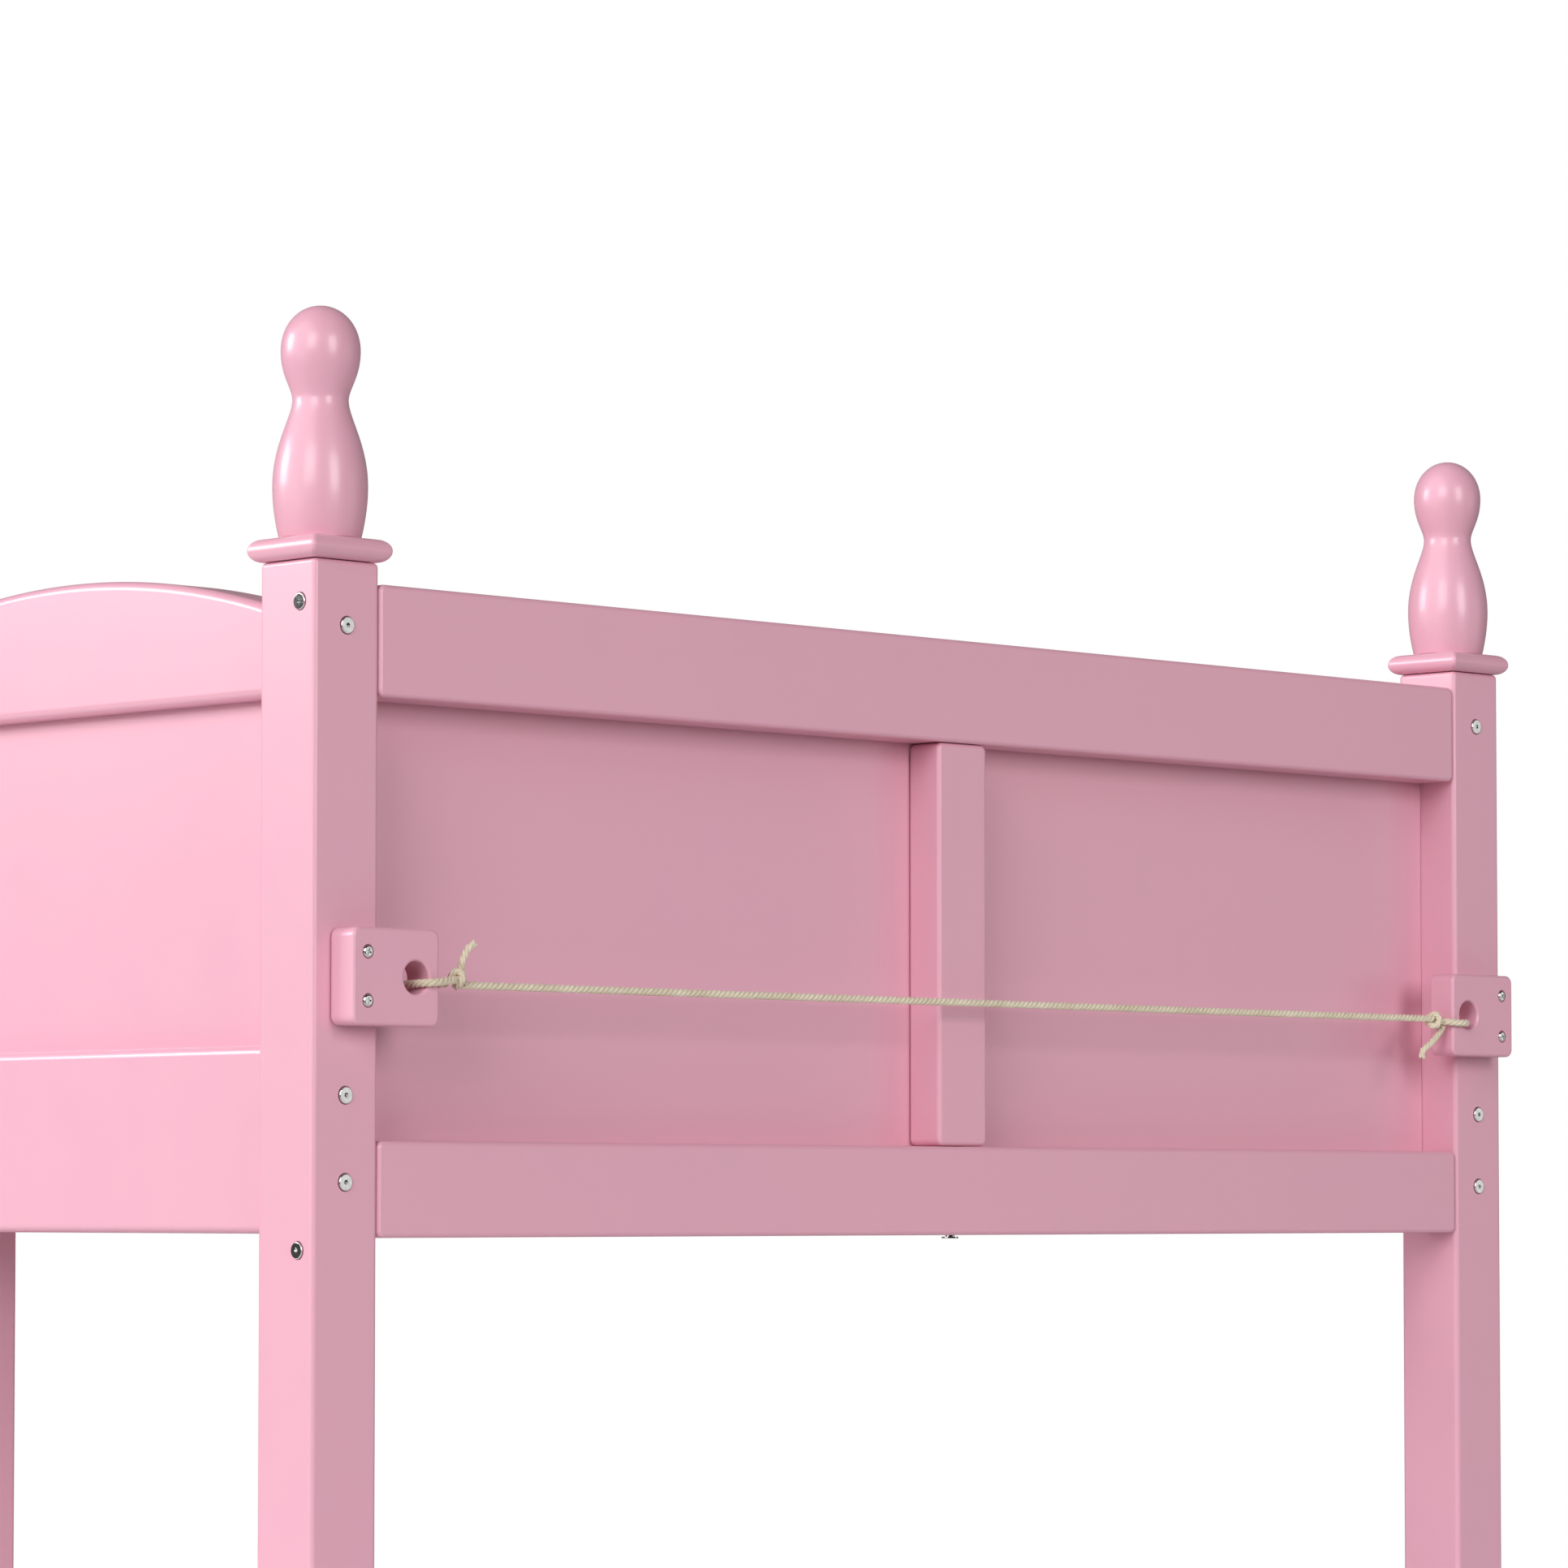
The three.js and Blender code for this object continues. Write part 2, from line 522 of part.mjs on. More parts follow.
// Rope blocks: screwed to the posts' near faces, with a lipped bore past the post's inner edge
function boreTool(x) {
  const outside = BLOCK_THICKNESS / 2 + TOOL_PAST;
  const straight = BLOCK_THICKNESS / 2 - BLOCK_BORE_LIP;
  const lip = BLOCK_BORE_RADIUS + BLOCK_BORE_LIP;
  const profile = new THREE.Path();
  profile.moveTo(0, -outside);
  profile.lineTo(lip, -outside);
  profile.lineTo(lip, -BLOCK_THICKNESS / 2);
  profile.absarc(lip, -straight, BLOCK_BORE_LIP, -Math.PI / 2, -Math.PI, true);
  profile.lineTo(BLOCK_BORE_RADIUS, straight);
  profile.absarc(lip, straight, BLOCK_BORE_LIP, Math.PI, Math.PI / 2, true);
  profile.lineTo(lip, outside);
  profile.lineTo(0, outside);
  const points = profile.getPoints(LIP_STEPS);
  const turned = points.filter((point, i) => i === 0 || point.distanceTo(points[i - 1]) > 1e-6);
  const geometry = new THREE.LatheGeometry(turned, TURNED_SIDES);
  geometry.translate(x, BLOCK_FRONT + BLOCK_THICKNESS / 2, BLOCK_MID_HEIGHT);
  return geometry;
}

function ropeBlock(sideSign) {
  const outerEnd = BLOCK_INNER_END + BLOCK_WIDTH;
  const foot = BLOCK_MID_HEIGHT - BLOCK_HEIGHT / 2;
  const low = sideSign < 0 ? -outerEnd : BLOCK_INNER_END;
  const outline = roundedOutline(low, foot, BLOCK_WIDTH, BLOCK_HEIGHT, BLOCK_CORNER);
  const plate = facingNearEnd(easedPlate(outline, BLOCK_THICKNESS, BLOCK_EDGE),
    BLOCK_THICKNESS, BLOCK_FRONT);
  const tools = [boreTool(sideSign * BORE_FROM_MIDDLE)];
  const screwX = sideSign * (outerEnd - BLOCK_SCREW_INSET);
  for (const up of [-1, 1]) {
    tools.push(drill('y', BLOCK_SCREW_RADIUS, 2 * BLOCK_SCREW_RECESS,
      new THREE.Vector3(screwX, BLOCK_FRONT, BLOCK_MID_HEIGHT + up * BLOCK_SCREW_SPREAD / 2)));
  }
  return cut(plate, tools);
}

for (const [sideName, sideSign] of SIDES) {
  add(`rope_block_${sideName}`, ropeBlock(sideSign));
}

// Rope: each block holds a loop that a knot closes, and the span runs taut between the knots.
// The points are chosen by hand along the rope's middle.
const ROPE_SPAN = [
  [-445.3, -1023.5, 787.1], [-400, -1023.5, 787.1], [-330, -1023.5, 787.1], [-260, -1023.5, 787.1],
  [-190, -1023.5, 787.1], [-120, -1023.5, 787.1], [-50, -1023.5, 787.1], [20, -1023.5, 787.1],
  [90, -1023.5, 787.1], [160, -1023.5, 787.1], [230, -1023.5, 787.1], [300, -1023.5, 787.1],
  [370, -1023.5, 787.1], [420, -1023.5, 787.1], [451.4, -1023.5, 787.1],
];
const LOOP_LEFT = [
  [-457.4, -1026.2, 789.9], [-464, -1029.4, 789.3], [-471.5, -1031.6, 788.4],
  [-478.6, -1031.7, 787.7], [-483, -1027.9, 787.3], [-483.7, -1020, 787],
  [-483.7, -1012, 786.8], [-482.6, -1006.3, 786.6], [-477.8, -1004, 786.5],
  [-471, -1004.7, 786.5], [-464.4, -1009.3, 786.8], [-459.4, -1015.6, 787.6],
  [-457, -1019.4, 788.3],
];
const LOOP_RIGHT = [
  [463.4, -1026.2, 785.4], [468.2, -1030, 784.9], [474.5, -1032.1, 784.6],
  [480.5, -1031.9, 784.6], [485.3, -1028.2, 784.7], [485.8, -1020, 785],
  [485, -1012, 785.8], [483.1, -1006.2, 786.8], [477.8, -1003.9, 787.3],
  [471.5, -1004.9, 787.5], [467.2, -1009.6, 787.4], [464.6, -1015.2, 787.2],
  [463.2, -1019.4, 787],
];
const KNOT_LEFT = [-451.3, -1023.5, 790.7];
const KNOT_RIGHT = [457.3, -1023.5, 786.2];
const TAIL_LEFT = [
  KNOT_LEFT, [-449.6, -1023.5, 796.2], [-449, -1023.5, 800.8], [-446.4, -1023.5, 806],
  [-442.8, -1023.5, 810.4], [-438.6, -1023.5, 813.2],
];
const TAIL_RIGHT = [
  KNOT_RIGHT, [460.6, -1026.6, 781.6], [458.6, -1028.5, 777.3], [453.9, -1028.8, 773],
  [448.4, -1028.3, 768.2], [443.6, -1027.6, 764.6], [441, -1027.4, 760.9],
];

function tube(points, steps) {
  const path = new THREE.CatmullRomCurve3(points.map((point) => new THREE.Vector3(...point)));
  const section = new THREE.Shape();
  section.moveTo(ROPE_RADIUS, 0);
  for (let i = 1; i < ROPE_SIDES; i += 1) {
    const angle = 2 * Math.PI * i / ROPE_SIDES;
    section.lineTo(ROPE_RADIUS * Math.cos(angle), ROPE_RADIUS * Math.sin(angle));
  }
  section.closePath();
  return new THREE.ExtrudeGeometry(section, { extrudePath: path, steps, bevelEnabled: false });
}

function knot(centre, tail) {
  const lump = new THREE.SphereGeometry(1, KNOT_SIDES, KNOT_RINGS);
  lump.scale(...KNOT_RADII);
  lump.translate(...centre);
  return toGeometry(toSolid(lump).add(toSolid(tube(tail, TAIL_STEPS))));
}

add('rope_span', tube(ROPE_SPAN, SPAN_STEPS), FINISHES.cotton);
add('rope_loop_left', tube(LOOP_LEFT, LOOP_STEPS), FINISHES.cotton);
add('rope_loop_right', tube(LOOP_RIGHT, LOOP_STEPS), FINISHES.cotton);
add('rope_knot_left', knot(KNOT_LEFT, TAIL_LEFT), FINISHES.cotton);
add('rope_knot_right', knot(KNOT_RIGHT, TAIL_RIGHT), FINISHES.cotton);

export default bed;
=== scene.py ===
# %% [markdown]
# A low loft bed in pink lacquer. The real one is a set of planed boards and four square posts,
# screwed and bolted together, with turned finials on top and a rope tied across one end.
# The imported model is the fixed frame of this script: metres, Z up, the origin on the floor.
# Each piece below takes its size and its place from a node of that frame, so nothing is fitted
# by eye. Only the small things, such as how round an edge is, have their own values here.

import json
import math

import bmesh
import bpy
from mathutils import Vector
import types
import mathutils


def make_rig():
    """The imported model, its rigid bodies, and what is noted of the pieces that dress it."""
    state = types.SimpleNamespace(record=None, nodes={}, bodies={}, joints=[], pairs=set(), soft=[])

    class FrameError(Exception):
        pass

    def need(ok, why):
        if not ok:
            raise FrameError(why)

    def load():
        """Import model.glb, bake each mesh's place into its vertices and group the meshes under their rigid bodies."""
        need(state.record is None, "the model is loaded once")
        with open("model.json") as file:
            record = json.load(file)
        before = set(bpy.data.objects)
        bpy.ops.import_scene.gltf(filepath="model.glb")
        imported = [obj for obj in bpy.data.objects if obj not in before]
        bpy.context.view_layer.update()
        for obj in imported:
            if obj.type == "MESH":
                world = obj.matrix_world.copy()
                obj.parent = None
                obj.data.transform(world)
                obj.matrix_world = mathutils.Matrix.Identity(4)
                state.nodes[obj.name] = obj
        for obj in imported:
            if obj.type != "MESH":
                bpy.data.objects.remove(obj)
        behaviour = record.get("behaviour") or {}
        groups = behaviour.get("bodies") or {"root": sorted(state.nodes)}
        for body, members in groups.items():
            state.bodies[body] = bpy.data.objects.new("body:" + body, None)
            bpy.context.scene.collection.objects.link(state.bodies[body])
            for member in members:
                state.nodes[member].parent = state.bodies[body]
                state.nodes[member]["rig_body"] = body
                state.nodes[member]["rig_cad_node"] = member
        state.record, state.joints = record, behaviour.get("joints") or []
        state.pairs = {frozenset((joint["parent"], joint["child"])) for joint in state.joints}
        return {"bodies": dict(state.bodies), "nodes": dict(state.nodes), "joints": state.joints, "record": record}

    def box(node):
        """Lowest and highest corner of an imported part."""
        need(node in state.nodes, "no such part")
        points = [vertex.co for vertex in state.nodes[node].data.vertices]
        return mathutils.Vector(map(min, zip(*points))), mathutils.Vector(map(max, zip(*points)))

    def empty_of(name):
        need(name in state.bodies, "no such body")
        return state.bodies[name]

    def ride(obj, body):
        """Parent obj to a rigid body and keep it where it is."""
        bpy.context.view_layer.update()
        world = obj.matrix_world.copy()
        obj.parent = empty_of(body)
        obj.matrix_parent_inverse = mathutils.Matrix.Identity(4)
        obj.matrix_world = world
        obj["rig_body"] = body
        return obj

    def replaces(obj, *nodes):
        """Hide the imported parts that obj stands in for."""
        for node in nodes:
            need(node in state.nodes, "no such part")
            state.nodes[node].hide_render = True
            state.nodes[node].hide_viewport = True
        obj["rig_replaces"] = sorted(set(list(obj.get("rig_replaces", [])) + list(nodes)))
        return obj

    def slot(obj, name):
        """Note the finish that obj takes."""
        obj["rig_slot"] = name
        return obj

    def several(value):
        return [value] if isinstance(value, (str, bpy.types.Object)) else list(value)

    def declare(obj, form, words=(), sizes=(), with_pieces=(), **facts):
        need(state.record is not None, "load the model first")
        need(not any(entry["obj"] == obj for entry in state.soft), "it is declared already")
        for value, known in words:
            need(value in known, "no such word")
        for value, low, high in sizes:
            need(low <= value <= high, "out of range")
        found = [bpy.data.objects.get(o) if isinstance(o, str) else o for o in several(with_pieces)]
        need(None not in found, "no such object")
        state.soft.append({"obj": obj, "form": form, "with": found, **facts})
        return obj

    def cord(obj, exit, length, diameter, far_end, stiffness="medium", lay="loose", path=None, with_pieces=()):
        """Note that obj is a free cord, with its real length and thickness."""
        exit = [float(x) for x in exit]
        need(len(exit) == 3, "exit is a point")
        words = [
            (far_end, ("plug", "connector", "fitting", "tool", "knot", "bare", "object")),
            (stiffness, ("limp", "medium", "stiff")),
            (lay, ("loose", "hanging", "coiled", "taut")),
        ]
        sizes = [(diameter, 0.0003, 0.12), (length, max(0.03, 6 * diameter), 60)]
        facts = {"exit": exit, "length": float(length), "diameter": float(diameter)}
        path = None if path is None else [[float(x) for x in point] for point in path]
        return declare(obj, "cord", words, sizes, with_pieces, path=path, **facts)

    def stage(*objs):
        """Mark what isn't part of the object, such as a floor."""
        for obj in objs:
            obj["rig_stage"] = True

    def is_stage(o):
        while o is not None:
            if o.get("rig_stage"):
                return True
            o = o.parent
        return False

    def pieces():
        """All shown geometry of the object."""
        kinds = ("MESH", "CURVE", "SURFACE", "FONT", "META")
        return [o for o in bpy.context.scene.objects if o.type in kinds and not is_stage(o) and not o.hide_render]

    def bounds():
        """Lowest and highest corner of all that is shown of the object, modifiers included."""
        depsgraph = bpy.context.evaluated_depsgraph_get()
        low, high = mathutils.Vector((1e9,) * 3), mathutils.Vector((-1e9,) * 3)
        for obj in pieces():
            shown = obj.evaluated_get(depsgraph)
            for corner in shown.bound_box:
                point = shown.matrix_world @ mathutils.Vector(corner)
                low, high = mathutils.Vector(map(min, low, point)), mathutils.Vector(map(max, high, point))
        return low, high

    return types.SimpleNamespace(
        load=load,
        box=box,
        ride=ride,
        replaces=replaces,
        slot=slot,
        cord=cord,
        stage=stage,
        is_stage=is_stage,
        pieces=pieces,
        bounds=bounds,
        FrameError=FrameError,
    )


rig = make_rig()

MM = 0.001
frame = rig.load()
cad_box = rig.bounds()
scene = bpy.context.scene
print("nodes in the frame:", len(frame["nodes"]))

# %% [markdown]
# The camera stands where the photograph was taken from: low, off the left corner of the near
# end, and far back with a long lens. A sensor shift keeps the posts upright while the frame looks
# up a little. The rest of the upward look is a small pitch, because a large shift would cut other
# views of the bed.

# %% Camera
IMAGE_PIXELS = 1932
FOCAL_PIXELS = 7294.0
SENSOR_WIDTH = 36.0
CAMERA_PLACE = (-2.7700, -3.6436, 0.6575)
CAMERA_YAW = math.radians(44.652)
CAMERA_PITCH = math.radians(2.856)
CAMERA_SHIFT = 0.08
CAMERA_CLIP_END = 100


def add_object(name, data):
    made = bpy.data.objects.new(name, data)
    scene.collection.objects.link(made)
    return made


def aim(thing, direction):
    """Turns a camera or a light, which look along their own -Z, towards a direction."""
    thing.rotation_euler = Vector(direction).to_track_quat("-Z", "Y").to_euler()


def spherical(yaw, pitch):
    """The direction at a yaw from +Y towards +X, and a pitch above the level."""
    flat = math.cos(pitch)
    return Vector((math.sin(yaw) * flat, math.cos(yaw) * flat, math.sin(pitch)))


lens = bpy.data.cameras.new("photo_camera")
lens.sensor_width = SENSOR_WIDTH
lens.sensor_fit = "HORIZONTAL"
lens.lens = FOCAL_PIXELS / IMAGE_PIXELS * SENSOR_WIDTH
lens.shift_y = CAMERA_SHIFT
lens.clip_end = CAMERA_CLIP_END
camera = add_object("photo_camera", lens)
camera.location = CAMERA_PLACE
aim(camera, spherical(CAMERA_YAW, CAMERA_PITCH))
scene.camera = camera
print("camera lens:", round(lens.lens, 2), "mm")

# %% [markdown]
# Node trees are easier to read as sums than as boxes and wires. The class Wire wraps one socket,
# so that 1 - mask or noise * 0.2 adds the Math nodes for it. Graph adds every other kind of node
# by one method. Shaders and Geometry Nodes share the same Math nodes, so both use these two.

# %% Expressions that build nodes


class Wire:
    """A socket that Python's arithmetic can be used on."""

    def __init__(self, graph, socket):
        self.graph = graph
        self.socket = socket

    def __add__(self, other):
        return self.graph.math("ADD", self, other)

    def __sub__(self, other):
        return self.graph.math("SUBTRACT", self, other)

    def __rsub__(self, other):
        return self.graph.math("SUBTRACT", other, self)

    def __mul__(self, other):
        return self.graph.math("MULTIPLY", self, other)

    def __truediv__(self, other):
        return self.graph.math("DIVIDE", self, other)

    def __pow__(self, other):
        return self.graph.math("POWER", self, other)

    __radd__ = __add__
    __rmul__ = __mul__


class Graph:
    """A node tree that is written as expressions."""

    def __init__(self, tree):
        self.tree = tree
        tree.nodes.clear()

    def node(self, kind, settings=None, inputs=None, output=0):
        """Adds a node: first its settings, then what its sockets hold. Gives one output."""
        made = self.tree.nodes.new(kind)
        for name, value in (settings or {}).items():
            if name == "captures":
                for kind_of_value, title in value:
                    made.capture_items.new(kind_of_value, title)
            else:
                setattr(made, name, value)
        for name, value in (inputs or {}).items():
            self.feed(made.inputs[name], value)
        return Wire(self, made.outputs[output]) if len(made.outputs) else made

    def feed(self, socket, value):
        if isinstance(value, Wire):
            self.tree.links.new(value.socket, socket)
        else:
            socket.default_value = value

    def math(self, operation, *values):
        return self.node("ShaderNodeMath", {"operation": operation}, dict(enumerate(values)))

    def vector(self, operation, *values, **named):
        named.update(enumerate(values))
        return self.node("ShaderNodeVectorMath", {"operation": operation}, named)

    def sibling(self, wire, name):
        """Another output of the node that a wire comes from."""
        return Wire(self, wire.socket.node.outputs[name])


print("node helpers ready")

# %% [markdown]
# Bare maths on a mesh comes next: a prism over an outline, a solid of revolution, and eased
# edges. Furniture edges are never sharp, and the thin bright lines in the photograph are the
# light that runs along them, so every board gets a real round of a few millimetres. Weighted
# normals keep the flats flat beside it.

# %% Solids
EDGE_STEPS = 6
CORNER_STEPS = 6
ROUND_PROFILE = 0.5
ON_AXIS = 1e-9
SHARP_ANGLE = math.radians(22)
EASE_ANGLE = math.radians(30)
PAST = 1 * MM
CLEARANCE = 0.3 * MM


def arc(centre_a, centre_b, radius, start, stop, steps):
    """Points of an arc in a plane, from one angle to another, in degrees."""
    found = []
    for i in range(steps + 1):
        angle = math.radians(start + (stop - start) * i / steps)
        found.append((centre_a + radius * math.cos(angle), centre_b + radius * math.sin(angle)))
    return found


def rounded_outline(low_a, low_b, high_a, high_b, corner):
    """A rectangle with round corners, as points."""
    outline = []
    for a, b, start in (
        (high_a - corner, low_b + corner, -90),
        (high_a - corner, high_b - corner, 0),
        (low_a + corner, high_b - corner, 90),
        (low_a + corner, low_b + corner, 180),
    ):
        outline.extend(arc(a, b, corner, start, start + 90, CORNER_STEPS))
    return outline


def prism(outline, axis, low, high):
    """A prism over an outline, along axis 0, 1 or 2, from low to high."""
    solid = bmesh.new()

    def ring(level):
        points = []
        for a, b in outline:
            point = [a, b]
            point.insert(axis, level)
            points.append(solid.verts.new(point))
        return points

    near = ring(low)
    far = ring(high)
    solid.faces.new(near)
    solid.faces.new(far)
    for i, vertex in enumerate(near):
        solid.faces.new((near[i - 1], vertex, far[i], far[i - 1]))
    bmesh.ops.recalc_face_normals(solid, faces=solid.faces[:])
    return solid


def ease(solid, width):
    """Rounds every edge that a hand would feel."""
    sharp = [edge for edge in solid.edges if edge.calc_face_angle(0) > EASE_ANGLE]
    bmesh.ops.bevel(solid, geom=sharp, offset=width, offset_type="OFFSET", segments=EDGE_STEPS,
                    profile=ROUND_PROFILE, affect="EDGES", clamp_overlap=True)
    return solid


def board(low, high, axis, corner, edge):
    """A board whose thickness lies along axis: round corners in its outline, eased edges."""
    a, b = [i for i in range(3) if i != axis]
    outline = rounded_outline(low[a], low[b], high[a], high[b], corner)
    return ease(prism(outline, axis, low[axis], high[axis]), edge)


def block(low, high):
    """A plain block, for cutting only."""
    outline = [(low[0], low[1]), (high[0], low[1]), (high[0], high[1]), (low[0], high[1])]
    return prism(outline, 2, low[2], high[2])


def turned(profile, centre, axis, sides):
    """A solid of revolution: its profile is (radius, height) from the axis round to the axis."""
    solid = bmesh.new()
    along = Vector(axis).normalized()
    across = along.orthogonal().normalized()
    other = along.cross(across)
    rings = []
    for radius, height in profile:
        middle = Vector(centre) + along * height
        if radius < ON_AXIS:
            rings.append([solid.verts.new(middle)])
            continue
        ring = []
        for i in range(sides):
            angle = math.tau * i / sides
            out = across * math.cos(angle) + other * math.sin(angle)
            ring.append(solid.verts.new(middle + out * radius))
        rings.append(ring)
    for below, above in zip(rings, rings[1:]):
        for i in range(sides):
            corners = [below[i % len(below)], below[(i + 1) % sides % len(below)],
                       above[(i + 1) % sides % len(above)], above[i % len(above)]]
            solid.faces.new(dict.fromkeys(corners))
    bmesh.ops.recalc_face_normals(solid, faces=solid.faces[:])
    return solid


def grown_box(node):
    """A cutting block a little larger than a node, for the groove or the notch that holds it."""
    low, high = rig.box(node)
    spare = Vector((CLEARANCE, CLEARANCE, CLEARANCE))
    return block(low - spare, high + spare)


print("solid helpers ready")

# %% [markdown]
# A joint is cut as a joiner cuts it: the board first, then its grooves, notches and bores, each
# by a boolean with a cutting shape. The result is baked to a plain mesh at the origin, marked
# sharp by angle, given weighted normals, and set to ride on the bed's one body.

# %% From solid to piece


def plain_mesh(name, solid):
    mesh = bpy.data.meshes.new(name)
    solid.to_mesh(mesh)
    solid.free()
    return mesh


def baked(thing):
    """The mesh that an object's modifiers make."""
    graph = bpy.context.evaluated_depsgraph_get()
    return bpy.data.meshes.new_from_object(thing.evaluated_get(graph))


def drop(*things):
    for thing in things:
        data = thing.data
        bpy.data.objects.remove(thing)
        if isinstance(data, bpy.types.Mesh):
            bpy.data.meshes.remove(data)


def carved(mesh, cutters):
    """A mesh after each cutter has been taken from it."""
    thing = add_object("blank", mesh)
    tools = []
    for cutter in cutters:
        tool = add_object("tool", plain_mesh("tool", cutter))
        modifier = thing.modifiers.new("cut", "BOOLEAN")
        modifier.operation = "DIFFERENCE"
        modifier.solver = "EXACT"
        modifier.object = tool
        tools.append(tool)
    result = baked(thing)
    drop(thing, *tools)
    return result


def dressed(mesh):
    """A mesh with its creases found by angle and its normals weighted by area."""
    for polygon in mesh.polygons:
        polygon.use_smooth = True
    mesh.set_sharp_from_angle(angle=SHARP_ANGLE)
    thing = add_object("dressing", mesh)
    thing.modifiers.new("weighted", "WEIGHTED_NORMAL").keep_sharp = True
    result = baked(thing)
    drop(thing)
    return result


def piece(name, mesh, material, slot, nodes=()):
    """A finished piece of the bed, standing for its nodes of the frame."""
    mesh.name = name
    mesh.materials.clear()
    mesh.materials.append(material)
    made = add_object(name, mesh)
    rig.ride(made, "root")
    if nodes:
        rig.replaces(made, *nodes)
    if slot:
        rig.slot(made, slot)
    return made


def wooden(name, solid, cutters=()):
    """A lacquered piece made from a solid and what is cut from it, standing for its node."""
    mesh = plain_mesh(name, solid)
    if cutters:
        mesh = carved(mesh, cutters)
    return piece(name + "_finish", dressed(mesh), LACQUER, "pink_lacquer", (name,))


print("piece helpers ready")

# %% [markdown]
# The lacquer is a sprayed satin coat on smooth wood. Close to, such a coat has a fine orange
# peel, a tone that wanders slightly from board to board, and a gloss that isn't even. All three
# come from noise in object coordinates, which need no unwrapping. The colour is a warm light pink.

# %% Lacquer


def new_shader(name):
    material = bpy.data.materials.new(name)
    material.use_nodes = True
    return material, Graph(material.node_tree)


def finish_shader(graph, shader):
    graph.node("ShaderNodeOutputMaterial", {}, {"Surface": shader})


def noise(graph, place, scale, detail=2.0, roughness=0.5):
    return graph.node("ShaderNodeTexNoise", {"noise_dimensions": "3D"},
                      {"Vector": place, "Scale": scale, "Detail": detail, "Roughness": roughness})


# A Mix node has sockets for every type of value. These are the ones that mix colours.
MIX_FACTOR = 0
MIX_FIRST = 6
MIX_SECOND = 7
MIX_RESULT = 2


def mixed(graph, factor, first, second):
    """A colour between two others."""
    return graph.node("ShaderNodeMix", {"data_type": "RGBA"},
                      {MIX_FACTOR: factor, MIX_FIRST: first, MIX_SECOND: second}, MIX_RESULT)


def clamped_ramp(graph, value, low, high):
    """0 below low, 1 above high, and straight between."""
    return graph.node("ShaderNodeMapRange", {"clamp": True},
                      {"Value": value, "From Min": low, "From Max": high})


PINK_WARM = (0.812, 0.416, 0.514, 1)
PINK_COOL = (0.788, 0.406, 0.520, 1)
DRIFT_SHARE = 0.7
PEEL_SHARE = 0.7
LACQUER_ROUGHNESS = 0.34
CLOUD_ON_GLOSS = 0.10
PEEL_ON_GLOSS = 0.04
NOISE_MIDDLE = 0.5


def lacquer_material():
    """Two patterns tint the coat, and two make its relief. They change the gloss a little too."""
    material, graph = new_shader("pink_lacquer")
    place = graph.node("ShaderNodeTexCoord", output="Object")
    drift = noise(graph, place, scale=3.2, detail=3.0)
    cloud = noise(graph, place, scale=26.0, detail=4.0, roughness=0.6)
    tint = drift * DRIFT_SHARE + cloud * (1 - DRIFT_SHARE)
    tone = clamped_ramp(graph, tint, low=0.34, high=0.66)
    colour = mixed(graph, tone, PINK_COOL, PINK_WARM)
    peel = noise(graph, place, scale=650.0, detail=1.0)
    waves = noise(graph, place, scale=90.0)
    height = peel * PEEL_SHARE + waves * (1 - PEEL_SHARE)
    relief = graph.node("ShaderNodeBump", {}, {
        "Strength": 0.03, "Distance": 0.4 * MM, "Height": height})
    rough = LACQUER_ROUGHNESS + (cloud - NOISE_MIDDLE) * CLOUD_ON_GLOSS
    rough = rough + (peel - NOISE_MIDDLE) * PEEL_ON_GLOSS
    shader = graph.node("ShaderNodeBsdfPrincipled", {}, {
        "Base Color": colour, "Roughness": rough, "IOR": 1.5, "Normal": relief,
        "Coat Weight": 0.25, "Coat Roughness": 0.16})
    finish_shader(graph, shader)
    return material


LACQUER = lacquer_material()
print("lacquer:", len(LACQUER.node_tree.nodes), "nodes")

# %% [markdown]
# The fasteners are zinc plated: a pale grey metal, bright but cloudy, with a faint grain. It is
# metal all over, so what it shows is mostly the studio. The rope is undyed cotton. Its fibres run
# along each strand, so their pattern follows coordinates that the strands carry with them.

# %% Plated steel and cotton
ZINC_LIGHT = (0.92, 0.92, 0.91, 1)
ZINC_DULL = (0.74, 0.74, 0.73, 1)
COTTON_LIGHT = (0.90, 0.82, 0.65, 1)
COTTON_DEEP = (0.58, 0.49, 0.33, 1)
ZINC_ROUGHNESS = 0.06
CLOUD_ON_ZINC = 0.05
STREAK_TONE = 0.5
FINE_TONE = 0.2
SOIL_TONE = 0.3
STREAK_HEIGHT = 0.6
COTTON_ROUGHNESS = 0.92
STREAK_ON_COTTON = 0.1


def zinc_material():
    """Crystals of zinc are the clouds: they change its colour and its gloss."""
    material, graph = new_shader("zinc_plate")
    place = graph.node("ShaderNodeTexCoord", output="Object")
    cloud = noise(graph, place, scale=420.0, detail=4.0, roughness=0.65)
    tone = clamped_ramp(graph, cloud, low=0.35, high=0.7)
    colour = mixed(graph, tone, ZINC_DULL, ZINC_LIGHT)
    grain = noise(graph, place, scale=2400.0)
    relief = graph.node("ShaderNodeBump", {}, {
        "Strength": 0.04, "Distance": 0.05 * MM, "Height": grain})
    rough = ZINC_ROUGHNESS + cloud * CLOUD_ON_ZINC
    shader = graph.node("ShaderNodeBsdfPrincipled", {}, {
        "Base Color": colour, "Metallic": 1.0, "Roughness": rough, "Normal": relief})
    finish_shader(graph, shader)
    return material


